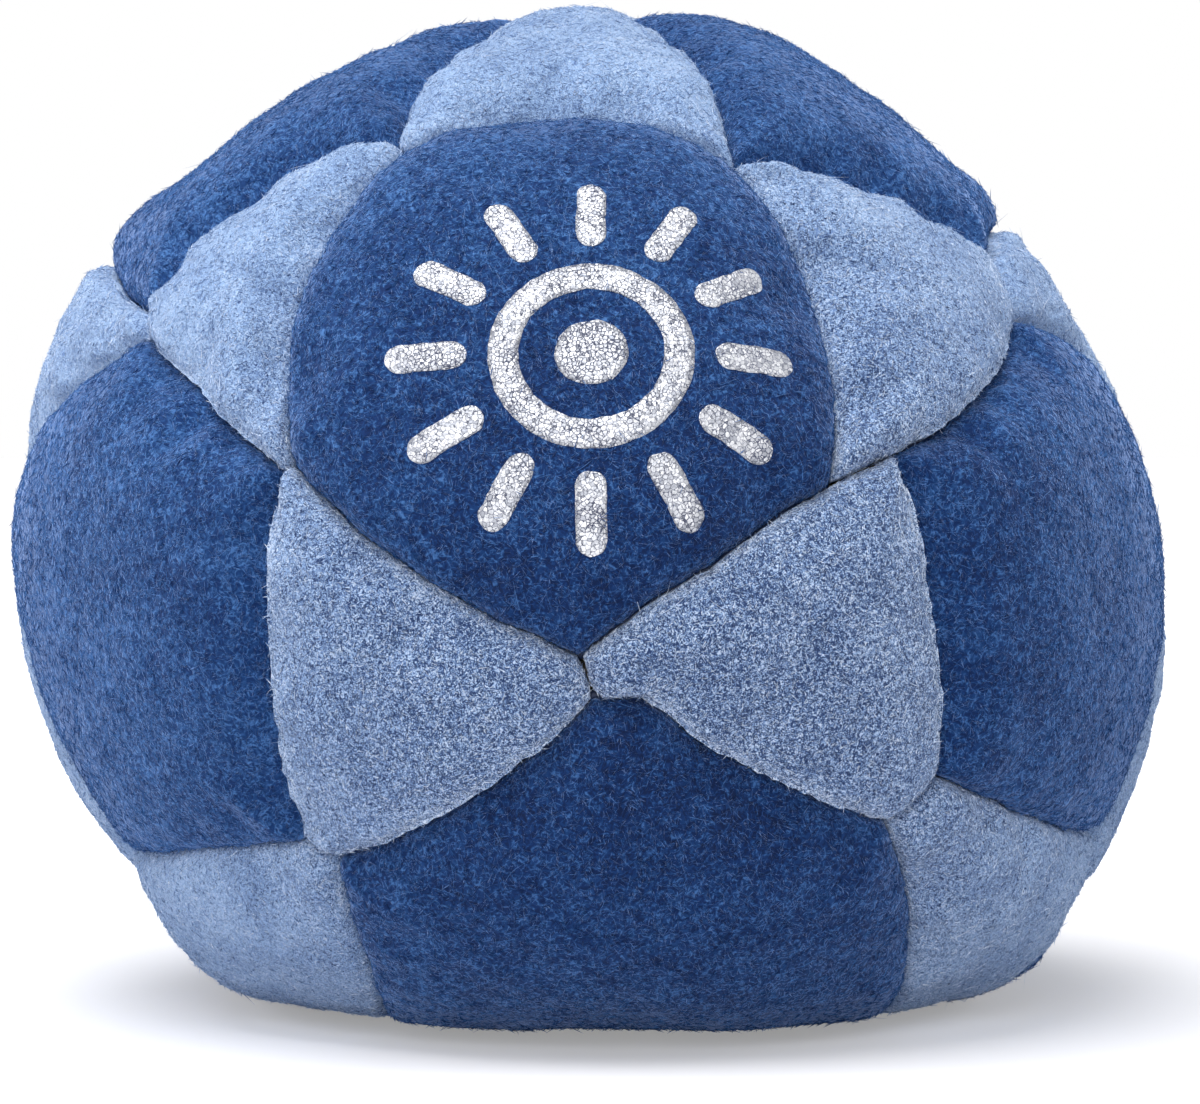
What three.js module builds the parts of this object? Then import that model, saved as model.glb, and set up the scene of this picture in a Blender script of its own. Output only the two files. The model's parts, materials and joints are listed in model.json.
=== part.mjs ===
// A sand-filled footbag of 32 suede panels, as it slumps on a flat surface.
// Twelve dark pentagons and twenty light triangles are sewn edge to edge. Each panel is a cut of
// synthetic suede whose rim is turned in as a seam allowance. A ring of thread runs round every
// pentagon in the V between the turned-in rims, and the sand fills the space that they leave.
// Millimetres, +Z up, the print faces -Y, and the bag rests on z = 0 under its own middle.
import * as THREE from 'three';
import { mergeVertices } from 'three/addons/utils/BufferGeometryUtils.js';

// The slumped bag
const ball_radius = 26;
const top_height = 25.4;
const seat_depth = 19.6;
const seat_blend = 2.5;
const shoulder_power_share = 1.87;
const lean_share = 0.031;

// The suede and how it is sewn
const suede_thickness = 0.9;
const panel_crown = 1.2;
const seam_allowance = 2;
const seam_gap = 0.3;
const tip_seam_length = 2;
const splay_angle_share = 0.14;
const thread_diameter = 0.5;
const thread_clearance = 0.3;
const fill_clearance = 0.3;

// How the pattern is turned, in degrees: tipped back, rolled sideways and swung about the vertical
const tip_back = 23;
const roll = 1.8;
const swing = 0.8;

// Rings of a panel, as shares of the way from its middle to its seam
const flat_share = 0.4;
const ring_shares = [0.7, 0.9];
const crown_power_share = 1.6;
const long_seam_steps = 4;
const thread_sides = 5;

// The sewing is by hand, so no two panels match. Each row names a corner by its azimuth from -Y
// and its elevation, in degrees, and moves it right and up by shares of the ball's radius.
const corner_shift_shares = [
  [-30, 10, -0.015, 0.005],
  [31, 11, 0, -0.01],
  [-27, 46, -0.015, 0.045],
  [26, 47, -0.02, 0],
  [-32, -26, 0.03, -0.04],
  [35, -24, -0.01, 0],
  [-64, 25, 0.06, 0.025],
  [-22, -62, -0.05, 0],
  [24, -61, 0.1, 0.02],
];

// Each row names a long seam by the azimuth and elevation of its middle, and bows it towards its
// pentagon by a share of the ball's radius.
const seam_bow_shares = [
  [-13, 3, -0.035],
  [14, 2, 0.02],
  [-12, -22, 0.01],
  [16, -20, -0.02],
  [-32, -5, -0.015],
  [-27, 29, -0.06],
  [-2, 48, -0.055],
  [-28, -46, -0.03],
  [34, -43, -0.06],
];
const usual_bow_share = 0.012;
const same_place_share = 0.985;

// Colours and surfaces
const dark_suede = new THREE.MeshStandardMaterial({ color: 0x35548a, roughness: 0.95, metalness: 0 });
const light_suede = new THREE.MeshStandardMaterial({ color: 0x8da8d2, roughness: 0.95, metalness: 0 });
const navy_thread = new THREE.MeshStandardMaterial({ color: 0x1b2b4c, roughness: 0.7, metalness: 0 });
const pale_sand = new THREE.MeshStandardMaterial({ color: 0xc9b48a, roughness: 1, metalness: 0 });

const full_turn = 2 * Math.PI;
const splay_angle = splay_angle_share * Math.PI;

// A direction from the middle of the bag, azimuth from -Y towards +X.
function directionAt(azimuth, elevation) {
  const around = THREE.MathUtils.degToRad(azimuth);
  const raised = THREE.MathUtils.degToRad(elevation);
  return new THREE.Vector3(
    Math.sin(around) * Math.cos(raised),
    -Math.cos(around) * Math.cos(raised),
    Math.sin(raised),
  );
}

// Where a direction meets the outside of the slumped bag. The upper half is a superellipse with
// sloping shoulders, the lower half is round, and the seat is pressed flat onto z = 0.
function envelopePoint(direction) {
  const flat = Math.hypot(direction.x, direction.y);
  let reach = ball_radius;
  if (direction.z > 0) {
    const across = (flat / ball_radius) ** shoulder_power_share;
    const upward = (direction.z / top_height) ** shoulder_power_share;
    reach = (across + upward) ** (-1 / shoulder_power_share);
  }
  const leaning = 1 - 2 * lean_share * direction.x * direction.z;
  const point = direction.clone().multiplyScalar(reach * leaning);
  const over_seat = point.z + seat_depth;
  if (over_seat < -seat_blend) {
    point.z = 0;
  } else if (over_seat < seat_blend) {
    point.z = (over_seat + seat_blend) ** 2 / (4 * seat_blend);
  } else {
    point.z = over_seat;
  }
  return point;
}

// A unit vector square to another.
function squareTo(direction) {
  const helper = Math.abs(direction.z) < Math.SQRT1_2
    ? new THREE.Vector3(0, 0, 1)
    : new THREE.Vector3(1, 0, 0);
  return helper.cross(direction).normalize();
}

// The outward normal of the slumped bag, from two short steps along it.
function envelopeNormal(direction) {
  const step_share = 0.001;
  const first = squareTo(direction);
  const second = direction.clone().cross(first);
  const here = envelopePoint(direction);
  const along = envelopePoint(direction.clone().addScaledVector(first, step_share).normalize());
  const aside = envelopePoint(direction.clone().addScaledVector(second, step_share).normalize());
  return along.sub(here).cross(aside.sub(here)).normalize();
}

// The point that lies at a depth under the outside, along a direction.
function pointUnder(direction, depth) {
  return envelopePoint(direction).addScaledVector(envelopeNormal(direction), -depth);
}

// A direction part of the way from one to another.
function between(from, to, share) {
  return from.clone().lerp(to, share).normalize();
}

// The sum of some directions, as a direction.
function middleOf(directions) {
  const sum = new THREE.Vector3();
  for (const direction of directions) {
    sum.add(direction);
  }
  return sum.normalize();
}

// The pattern is an icosidodecahedron: a pentagon lies on each corner of an icosahedron and a
// triangle on each face. It is turned so that a pentagon faces -Y with one corner down, and then
// tipped back.
function icosahedron() {
  const geometry = new THREE.IcosahedronGeometry(1, 0);
  geometry.deleteAttribute('normal');
  geometry.deleteAttribute('uv');
  const merged = mergeVertices(geometry);
  const position = merged.getAttribute('position');
  const corners = [];
  for (let i = 0; i < position.count; i += 1) {
    corners.push(new THREE.Vector3().fromBufferAttribute(position, i).normalize());
  }
  const faces = [];
  for (let i = 0; i < merged.index.count; i += 3) {
    faces.push([0, 1, 2].map((k) => merged.index.getX(i + k)));
  }
  const towards_print = corners[faces[0][0]];
  const panel_corner = between(towards_print, corners[faces[0][1]], 1 / 2);
  const down = panel_corner.clone().addScaledVector(towards_print, -panel_corner.dot(towards_print));
  const back = towards_print.clone().negate();
  const up = down.normalize().negate();
  const upright = new THREE.Matrix4().makeBasis(back.clone().cross(up), back, up).transpose();
  const turn = new THREE.Matrix4()
    .makeRotationZ(THREE.MathUtils.degToRad(swing))
    .multiply(new THREE.Matrix4().makeRotationY(THREE.MathUtils.degToRad(-roll)))
    .multiply(new THREE.Matrix4().makeRotationX(THREE.MathUtils.degToRad(-tip_back)))
    .multiply(upright);
  for (const corner of corners) {
    corner.applyMatrix4(turn);
  }
  return { corners, faces };
}

// The shift that the hand sewing gives the pattern corner at a direction.
function shiftedCorner(direction) {
  const moved = direction.clone();
  for (const [azimuth, elevation, right_share, up_share] of corner_shift_shares) {
    if (directionAt(azimuth, elevation).dot(direction) > same_place_share) {
      const east = new THREE.Vector3(0, 0, 1).cross(direction).normalize();
      const north = direction.clone().cross(east);
      moved.addScaledVector(east, right_share).addScaledVector(north, up_share);
    }
  }
  return moved.normalize();
}

// How far a seam bows towards its pentagon, as a share of the ball's radius.
function bowShare(seam_middle) {
  for (const [azimuth, elevation, bow] of seam_bow_shares) {
    if (directionAt(azimuth, elevation).dot(seam_middle) > same_place_share) {
      return bow;
    }
  }
  return usual_bow_share;
}

const { corners: pentagon_middles, faces: triangle_faces } = icosahedron();

// The place where four panels meet, between two pentagons.
function meetingPlace(pentagon, other_pentagon) {
  const middle = between(pentagon_middles[pentagon], pentagon_middles[other_pentagon], 1 / 2);
  return shiftedCorner(middle);
}

// The corner of one pentagon at that place. The two pentagons' corners stay apart by the short
// seam that joins the tips of the two triangles there.
function pentagonCorner(pentagon, other_pentagon) {
  const place = meetingPlace(pentagon, other_pentagon);
  const middle = pentagon_middles[pentagon];
  const inward = middle.clone().addScaledVector(place, -middle.dot(place)).normalize();
  return place.addScaledVector(inward, tip_seam_length / 2 / ball_radius).normalize();
}

// The directions along the long seam between one pentagon and one triangle.
function longSeam(pentagon, face) {
  const at = face.indexOf(pentagon);
  const start = pentagonCorner(pentagon, face[(at + 1) % 3]);
  const end = pentagonCorner(pentagon, face[(at + 2) % 3]);
  const chord_middle = between(start, end, 1 / 2);
  const middle = pentagon_middles[pentagon];
  const inward = middle.clone().addScaledVector(chord_middle, -middle.dot(chord_middle)).normalize();
  const bow = bowShare(chord_middle);
  const points = [];
  for (let step = 0; step <= long_seam_steps; step += 1) {
    const share = step / long_seam_steps;
    const point = between(start, end, share);
    points.push(point.addScaledVector(inward, bow * Math.sin(Math.PI * share)).normalize());
  }
  return points;
}

// The outline of a panel as directions, counter-clockwise seen from outside.
function outlineOf(seams) {
  const middle = middleOf(seams.flat());
  const east = squareTo(middle);
  const north = middle.clone().cross(east);
  const angleOf = (direction) => Math.atan2(direction.dot(north), direction.dot(east));
  const unique = [];
  for (const direction of seams.flat()) {
    if (!unique.some((other) => other.distanceTo(direction) < Number.EPSILON)) {
      unique.push(direction);
    }
  }
  return { middle, outline: unique.sort((a, b) => angleOf(a) - angleOf(b)) };
}

const seams_of_face = triangle_faces.map((face) => face.map((pentagon) => longSeam(pentagon, face)));

function pentagonOutline(pentagon) {
  const seams = [];
  triangle_faces.forEach((face, index) => {
    if (face.includes(pentagon)) {
      seams.push(seams_of_face[index][face.indexOf(pentagon)]);
    }
  });
  return outlineOf(seams);
}

// The distance from a panel's middle to the nearest part of its seam line.
function panelReach({ middle, outline }) {
  return ball_radius * Math.min(...outline.map((direction) => direction.angleTo(middle)));
}

// How far the outside of a panel dips below the crown of the bag.
function crownDepth(share) {
  return panel_crown * Math.max(0, (share - flat_share) / (1 - flat_share)) ** crown_power_share;
}

// One ring of a panel: its outline drawn in to a share, at a depth.
function ringAt({ middle, outline }, share, depth) {
  return outline.map((direction) => pointUnder(between(middle, direction, share), depth));
}

// A closed skin over rings of equal length, from a first pole to a last pole.
function loft(first_pole, rings, last_pole) {
  const points = [first_pole, ...rings.flat(), last_pole];
  const count = rings[0].length;
  const last = points.length - 1;
  const index = [];
  for (let k = 0; k < count; k += 1) {
    const next = (k + 1) % count;
    index.push(0, 1 + k, 1 + next);
    for (let ring = 0; ring < rings.length - 1; ring += 1) {
      const near = 1 + ring * count;
      const far = near + count;
      index.push(near + k, far + k, far + next, near + k, far + next, near + next);
    }
    const final_ring = 1 + (rings.length - 1) * count;
    index.push(last, final_ring + next, final_ring + k);
  }
  return skinOf(points, index);
}

// A geometry from points and triangles.
function skinOf(points, index) {
  const geometry = new THREE.BufferGeometry().setFromPoints(points);
  geometry.setIndex(index);
  geometry.computeVertexNormals();
  return geometry;
}

// The shares at which a panel folds, ends its allowance and bears on the sand.
function sewnShares(panel) {
  const reach = panelReach(panel);
  const fold = 1 - seam_gap / 2 / reach;
  const splay = (seam_allowance * Math.tan(splay_angle)) / reach;
  const wall = suede_thickness / Math.cos(splay_angle) / reach;
  const clearance = fill_clearance / Math.cos(splay_angle) / reach;
  const raw_edge = fold - splay;
  const bearing = raw_edge - wall - 2 * clearance;
  return { fold, wall, raw_edge, bearing, under_rim: bearing + clearance };
}

// One panel: the crowned face, the fold at the seam, the allowance turned in and splayed away
// from the neighbour's, its raw edge, and the inner side.
function panelSkin(panel) {
  const { fold, wall, raw_edge, bearing } = sewnShares(panel);
  const rim_depth = panel_crown + seam_allowance;
  const rings = [
    ringAt(panel, flat_share, 0),
    ...ring_shares.map((share) => ringAt(panel, share * fold, crownDepth(share))),
    ringAt(panel, fold, panel_crown),
    ringAt(panel, raw_edge, rim_depth),
    ringAt(panel, raw_edge - wall, rim_depth),
    ringAt(panel, fold - wall, panel_crown + suede_thickness),
    ringAt(panel, bearing, crownDepth(bearing) + suede_thickness),
  ];
  return loft(pointUnder(panel.middle, 0), rings, pointUnder(panel.middle, suede_thickness));
}

// The depth at which the V between two allowances is wide enough for the thread.
function threadDepth() {
  const beside = (thread_diameter / 2 + thread_clearance) / Math.cos(splay_angle);
  return panel_crown + (beside - seam_gap / 2) / Math.tan(splay_angle);
}

// A closed ring of thread along a pentagon's seams.
function threadSkin({ outline }) {
  const route = outline.map((direction) => pointUnder(direction, threadDepth()));
  const count = route.length;
  const points = [];
  const index = [];
  route.forEach((centre, k) => {
    const ahead = route[(k + 1) % count].clone().sub(route[(k + count - 1) % count]).normalize();
    const outward = envelopeNormal(outline[k]);
    const sideways = ahead.clone().cross(outward).normalize();
    const upward = sideways.clone().cross(ahead);
    const next = (k + 1) % count;
    for (let side = 0; side < thread_sides; side += 1) {
      const angle = (full_turn * side) / thread_sides;
      const across = sideways.clone().multiplyScalar(Math.cos(angle) * thread_diameter / 2);
      const point = centre.clone().add(across);
      points.push(point.addScaledVector(upward, Math.sin(angle) * thread_diameter / 2));
      const beside = (side + 1) % thread_sides;
      const here = k * thread_sides;
      const there = next * thread_sides;
      index.push(here + side, there + beside, here + beside);
      index.push(here + side, there + side, there + beside);
    }
  });
  return skinOf(points, index);
}

// The part of the sand under one panel: a pillow that fills the panel and dips below the rims of
// its allowances, out to the seam line.
function fillRings(panel) {
  const { bearing, under_rim } = sewnShares(panel);
  const under_rim_depth = panel_crown + seam_allowance + fill_clearance;
  return [
    ringAt(panel, bearing, crownDepth(bearing) + suede_thickness + fill_clearance),
    ringAt(panel, under_rim, under_rim_depth),
    ringAt(panel, 1, under_rim_depth),
  ];
}

// The sand: the pillows of all panels, joined along the seam lines into one body.
function fillSkin(panels) {
  const points = [];
  const index = [];
  for (const panel of panels) {
    const rings = fillRings(panel);
    const count = panel.outline.length;
    const first = points.length;
    points.push(pointUnder(panel.middle, suede_thickness + fill_clearance), ...rings.flat());
    for (let k = 0; k < count; k += 1) {
      const next = (k + 1) % count;
      index.push(first, first + 1 + k, first + 1 + next);
      for (let ring = 0; ring < rings.length - 1; ring += 1) {
        const near = first + 1 + ring * count;
        const far = near + count;
        index.push(near + k, far + k, far + next, near + k, far + next, near + next);
      }
    }
  }
  const loose = skinOf(points, index);
  loose.deleteAttribute('normal');
  const joined = mergeVertices(loose);
  joined.computeVertexNormals();
  return joined;
}

// Panels in reading order: from the top down, and round from the print within a height.
function inReadingOrder(panels) {
  return [...panels].sort((a, b) => b.middle.z - a.middle.z);
}

function numbered(name, index) {
  return `${name}_${String(index + 1).padStart(2, '0')}`;
}

function addPiece(bag, name, geometry, material) {
  const piece = new THREE.Mesh(geometry, material);
  piece.name = name;
  bag.add(piece);
}

function buildBag() {
  const bag = new THREE.Group();
  const pentagons = inReadingOrder(pentagon_middles.map((_, pentagon) => pentagonOutline(pentagon)));
  const triangles = inReadingOrder(seams_of_face.map((seams) => outlineOf(seams)));
  pentagons.forEach((panel, index) => {
    addPiece(bag, numbered('pentagon_panel', index), panelSkin(panel), dark_suede);
    addPiece(bag, numbered('seam_thread', index), threadSkin(panel), navy_thread);
  });
  triangles.forEach((panel, index) => {
    addPiece(bag, numbered('triangle_panel', index), panelSkin(panel), light_suede);
  });
  addPiece(bag, 'sand_fill', fillSkin([...pentagons, ...triangles]), pale_sand);
  return bag;
}

export default buildBag();
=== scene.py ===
"""A sand-filled footbag of dark pentagons and light triangles, slumped on a pale table.

Each panel is cut flat, with its seam allowance round it, and is then sewn onto the slumped form
that the sand gives the bag: the face is crowned between its seams, folds over at the seam and
turns its allowance in. A ring of thread lies in the V between the allowances, short fibres stand
on the napped faces, and a plain silver foil print lies on the front panel.
"""

from __future__ import annotations

import json
import logging
import math
from collections.abc import Sequence
from dataclasses import dataclass, field
from enum import Enum

import bmesh
import bpy
import numpy as np
from mathutils import Matrix, Vector

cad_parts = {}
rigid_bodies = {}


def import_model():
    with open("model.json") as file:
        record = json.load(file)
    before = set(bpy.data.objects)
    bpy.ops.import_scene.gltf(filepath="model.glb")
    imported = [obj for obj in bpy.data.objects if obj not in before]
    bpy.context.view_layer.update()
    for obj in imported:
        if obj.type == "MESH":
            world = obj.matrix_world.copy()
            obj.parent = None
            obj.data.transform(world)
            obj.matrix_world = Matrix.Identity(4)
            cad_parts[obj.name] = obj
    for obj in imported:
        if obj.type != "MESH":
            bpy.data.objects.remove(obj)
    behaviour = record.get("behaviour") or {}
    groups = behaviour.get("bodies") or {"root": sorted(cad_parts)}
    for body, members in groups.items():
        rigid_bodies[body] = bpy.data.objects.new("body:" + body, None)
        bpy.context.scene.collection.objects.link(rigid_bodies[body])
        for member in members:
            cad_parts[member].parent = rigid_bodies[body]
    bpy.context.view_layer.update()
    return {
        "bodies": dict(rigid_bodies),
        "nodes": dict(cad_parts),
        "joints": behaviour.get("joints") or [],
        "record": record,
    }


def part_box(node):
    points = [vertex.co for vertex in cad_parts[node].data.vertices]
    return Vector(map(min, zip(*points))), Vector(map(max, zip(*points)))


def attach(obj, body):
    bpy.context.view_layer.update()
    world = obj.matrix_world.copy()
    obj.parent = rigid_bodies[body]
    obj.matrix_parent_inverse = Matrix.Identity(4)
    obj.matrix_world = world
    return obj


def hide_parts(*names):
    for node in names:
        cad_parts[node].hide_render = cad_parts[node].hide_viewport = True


LOG = logging.getLogger("footbag")
MM = 0.001
UP = np.array((0.0, 0.0, 1.0))
WHITE = (1.0, 1.0, 1.0, 1.0)
# Points nearer than this are one point, and radii within this share are one radius
DOUBLED = 1e-7
SAME_RADIUS = 1e-4


def unit(vectors: np.ndarray) -> np.ndarray:
    """Returns the vectors at a length of one."""
    return vectors / np.linalg.norm(vectors, axis=-1, keepdims=True)


def direction_at(azimuth: float, elevation: float) -> np.ndarray:
    """Returns a direction from the middle of the bag.

    Args:
        azimuth: Degrees round from -Y towards +X.
        elevation: Degrees above the horizontal.

    Returns:
        A unit vector.
    """
    around, raised = math.radians(azimuth), math.radians(elevation)
    flat = math.cos(raised)
    return np.array((math.sin(around) * flat, -math.cos(around) * flat, math.sin(raised)))


def square_to(directions: np.ndarray) -> np.ndarray:
    """Finds a direction square to each of some directions.

    Args:
        directions: Unit vectors, or one of them.

    Returns:
        Unit vectors: level ones, apart from those for steep directions.
    """
    steep = np.abs(directions[..., 2:3]) > math.sqrt(0.5)
    helper = np.where(steep, np.array((1.0, 0.0, 0.0)), UP)
    return unit(np.cross(helper, directions))


def turns_about(middle: np.ndarray, directions: np.ndarray) -> np.ndarray:
    """Measures how far round a middle some directions lie.

    Args:
        middle: The direction that they lie round.
        directions: The directions, of any length.

    Returns:
        Angles in radians, counter-clockwise seen from outside.
    """
    east = square_to(middle)
    north = np.cross(middle, east)
    return np.arctan2(directions @ north, directions @ east)


@dataclass(frozen=True)
class Ripples:
    """A smooth uneven field in space, summed from plane waves in seeded directions."""

    wavelength: float
    seed: int
    waves: int = 14
    shortest: float = 0.7
    longest: float = 1.6
    strength: float = 0.6

    def at(self, points: np.ndarray) -> np.ndarray:
        """Reads the field.

        Args:
            points: Where to read it, one row each.

        Returns:
            The values there, mostly between minus one and one.
        """
        chance = np.random.default_rng(self.seed)
        headings = unit(chance.normal(size=(self.waves, 3)))
        lengths = self.wavelength * chance.uniform(self.shortest, self.longest, self.waves)
        starts = chance.uniform(0.0, math.tau, self.waves)
        phases = points @ (headings * (math.tau / lengths)[:, None]).T + starts
        return np.sin(phases).sum(axis=1) * math.sqrt(2.0 / self.waves) * self.strength


@dataclass(frozen=True)
class SlumpedForm:
    """The outside of the bag as the sand lets it slump.

    The upper half is a superellipse with sloping shoulders, the lower half is one that the sand
    fills out, the whole leans a little, and the seat is pressed flat onto the table.
    """

    ball_radius: float = 26 * MM
    top_height: float = 24.75 * MM
    seat_depth: float = 19.6 * MM
    seat_blend: float = 2.5 * MM
    shoulder_power: float = 1.8
    foot_power: float = 2.06
    lean: float = 0.024
    # Azimuth and elevation where the sand pushes, the push's spread in degrees and its height
    pushes: tuple[tuple[float, float, float, float], ...] = (
        (-90, 51, 17, -0.9 * MM),
        (-90, 33, 10, 1.1 * MM),
        (84, 27, 10, -1.1 * MM),
        (90, 40, 5, 0.8 * MM),
        (90, 71, 14, 0.55 * MM),
        (84, 49, 5, -0.25 * MM),
        (84, 8, 11, -0.45 * MM),
        (84, -30, 7, -0.3 * MM),
        (90, -45, 12, 0.55 * MM),
        (90, -23, 9, -0.4 * MM),
        (-84, -34, 12, -0.6 * MM),
        (-90, -59, 11, 0.55 * MM),
        (20, -66, 12, -0.9 * MM),
    )
    lump_height: float = 0.2 * MM
    lump_width: float = 11 * MM
    normal_step: float = 0.002

    def outside(self, directions: np.ndarray) -> np.ndarray:
        """Finds where directions from the middle of the ball meet the outside.

        Args:
            directions: Unit vectors, one row each.

        Returns:
            Points, one row each, with the table at a height of nought.
        """
        flat = np.hypot(directions[:, 0], directions[:, 1])
        height = directions[:, 2]
        power = np.where(height > 0.0, self.shoulder_power, self.foot_power)
        half_height = np.where(height > 0.0, self.top_height, self.ball_radius)
        across = (flat / self.ball_radius) ** power
        upward = (np.abs(height) / half_height) ** power
        reach = (across + upward) ** (-1.0 / power)
        reach = reach * (1.0 - 2.0 * self.lean * directions[:, 0] * height)
        for azimuth, elevation, spread, push in self.pushes:
            away = 1.0 - directions @ direction_at(azimuth, elevation)
            reach = reach + push * np.exp(-away / (1.0 - math.cos(math.radians(spread))))
        lumps = Ripples(self.lump_width, seed=3).at(directions * self.ball_radius)
        points = directions * (reach + self.lump_height * lumps)[:, None]
        over = points[:, 2] + self.seat_depth
        blend = (np.clip(over, -self.seat_blend, self.seat_blend) + self.seat_blend) ** 2
        points[:, 2] = np.where(over < self.seat_blend, blend / (4.0 * self.seat_blend), over)
        return points

    def normals(self, directions: np.ndarray) -> np.ndarray:
        """Finds the outward normals of the outside, from two short steps along it.

        Args:
            directions: Unit vectors from the middle of the ball, one row each.

        Returns:
            The normals where they meet the outside.
        """
        first = square_to(directions)
        second = np.cross(directions, first)
        here = self.outside(directions)
        along = self.outside(unit(directions + first * self.normal_step)) - here
        aside = self.outside(unit(directions + second * self.normal_step)) - here
        return unit(np.cross(along, aside))

    def under(self, directions: np.ndarray, depths: np.ndarray) -> np.ndarray:
        """Returns the points at some depths under the outside, along some directions."""
        return self.outside(directions) - self.normals(directions) * depths[:, None]


def placed(name: str, data: bpy.types.ID) -> bpy.types.Object:
    """Puts an object in the scene.

    Args:
        name: Its name.
        data: Its mesh, lamp or camera.

    Returns:
        The new object.
    """
    made = bpy.data.objects.new(name, data)
    bpy.context.scene.collection.objects.link(made)
    return made


def mesh_from(shape: bmesh.types.BMesh, name: str) -> bpy.types.Mesh:
    """Turns an edited shape into a mesh and lets the shape go.

    Args:
        shape: The shape.
        name: The mesh's name.

    Returns:
        The new mesh.
    """
    mesh = bpy.data.meshes.new(name)
    shape.to_mesh(mesh)
    shape.free()
    return mesh


def add_flat_band(shape: bmesh.types.BMesh, radii: Sequence[float], segments: int) -> None:
    """Adds a flat band of rings to a shape, or a disc where the first radius is nought.

    It is a grid wound round the middle. A grid's points and faces have the same order each run,
    which an extrusion's don't, and the cloth's result depends on that order.

    Args:
        shape: The shape.
        radii: The rings' radii, from the innermost out.
        segments: The number of points in a ring.
    """
    steps = len(radii) - 1
    grid = bmesh.ops.create_grid(shape, x_segments=segments, y_segments=steps, size=1.0)["verts"]
    for vert in grid:
        column = round((vert.co.x + 1.0) / 2 * segments) % segments
        row = round((vert.co.y + 1.0) / 2 * steps)
        turn = math.tau * column / segments
        vert.co = Vector((math.sin(turn), math.cos(turn), 0.0)) * radii[row]
    bmesh.ops.remove_doubles(shape, verts=grid, dist=DOUBLED)


def ringed_disc(radii: np.ndarray, segments: int) -> bpy.types.Mesh:
    """Makes a flat disc of rings round a middle point.

    Args:
        radii: The rings' radii, from the innermost out.
        segments: The number of points in a ring.

    Returns:
        The mesh, with its faces up.
    """
    flat = bmesh.new()
    add_flat_band(flat, (0.0, *radii), segments)
    bmesh.ops.recalc_face_normals(flat, faces=flat.faces)
    return mesh_from(flat, "disc")


def points_of(mesh: bpy.types.Mesh) -> np.ndarray:
    """Reads a mesh's points.

    Args:
        mesh: The mesh.

    Returns:
        The points, one row each.
    """
    flat = np.empty(len(mesh.vertices) * 3)
    mesh.vertices.foreach_get("co", flat)
    return flat.reshape(-1, 3)


def place_points(mesh: bpy.types.Mesh, points: np.ndarray) -> None:
    """Moves a mesh's points."""
    mesh.vertices.foreach_set("co", points.ravel())
    mesh.update()


def rings_and_corners(
    mesh: bpy.types.Mesh, radii: np.ndarray, segments: int
) -> tuple[np.ndarray, np.ndarray]:
    """Tells which place in a ringed disc each of its points has.

    Args:
        mesh: The disc, still flat.
        radii: The rings' radii, from the innermost out.
        segments: The number of points in a ring.

    Returns:
        Each point's ring, nought at the middle, and its number in the ring, counted from +Y.
    """
    flat = points_of(mesh)
    reach = np.hypot(flat[:, 0], flat[:, 1])
    rings = np.searchsorted(np.asarray(radii) * (1.0 - SAME_RADIUS), reach)
    turns = np.arctan2(-flat[:, 0], flat[:, 1]) / math.tau * segments
    return rings, np.round(turns).astype(int) % segments


def joined_and_outward(mesh: bpy.types.Mesh) -> None:
    """Merges a mesh's doubled points, turns its faces outwards and smooths its shading.

    Args:
        mesh: The mesh, which is changed.
    """
    shape = bmesh.new()
    shape.from_mesh(mesh)
    bmesh.ops.remove_doubles(shape, verts=shape.verts, dist=DOUBLED)
    bmesh.ops.recalc_face_normals(shape, faces=shape.faces)
    for face in shape.faces:
        face.smooth = True
    shape.to_mesh(mesh)
    shape.free()


def add_tones(mesh: bpy.types.Mesh, tones: np.ndarray) -> None:
    """Stores how much paler than usual each point is."""
    stored = mesh.attributes.new("tone", "FLOAT", "POINT")
    stored.data.foreach_set("value", tones.astype(np.float32))


def add_piece(name: str, mesh: bpy.types.Mesh, material: bpy.types.Material) -> bpy.types.Object:
    """Puts a mesh in the scene as a piece of the bag.

    Args:
        name: The piece's name.
        mesh: Its mesh.
        material: Its finish.

    Returns:
        The new piece.
    """
    mesh.name = name
    mesh.materials.append(material)
    return placed(name, mesh)


def blended(grid: np.ndarray, rings: np.ndarray, along: np.ndarray) -> np.ndarray:
    """Reads a ringed grid between its points.

    Args:
        grid: Values by ring and point, the rings closed.
        rings: Where to read, in rings out from the middle.
        along: Where to read, in points round.

    Returns:
        The values there.
    """
    low = np.clip(np.floor(rings).astype(int), 0, len(grid) - 2)
    before = np.floor(along).astype(int)
    out, turn = (rings - low)[:, None], (along - before)[:, None]
    near, far = before % grid.shape[1], (before + 1) % grid.shape[1]
    inner = grid[low, near] * (1.0 - turn) + grid[low, far] * turn
    outer = grid[low + 1, near] * (1.0 - turn) + grid[low + 1, far] * turn
    return inner * (1.0 - out) + outer * out


class PanelKind(Enum):
    """The two cuts that the bag is sewn from."""

    PENTAGON = "pentagon_panel"
    TRIANGLE = "triangle_panel"


@dataclass
class Outline:
    """A panel's sewn outline as directions, counter-clockwise seen from outside."""

    kind: PanelKind
    middle: np.ndarray
    directions: np.ndarray
    seam_numbers: np.ndarray
    laps: np.ndarray

    def between(self, along: np.ndarray) -> np.ndarray:
        """Reads the outline between its points.

        Args:
            along: Where to read, in points round.

        Returns:
            The directions there, a little short of a length of one.
        """
        before = np.floor(along).astype(int)
        share = (along - before)[:, None]
        count = len(self.directions)
        ends = self.directions[before % count], self.directions[(before + 1) % count]
        return ends[0] * (1.0 - share) + ends[1] * share

    def spread(self, shares: np.ndarray) -> np.ndarray:
        """Returns directions at shares, by ring and point, of the way out to the outline."""
        return unit(self.middle + (self.directions - self.middle) * shares[:, :, None])


SeamTable = tuple[tuple[float, float, float], ...]


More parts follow.
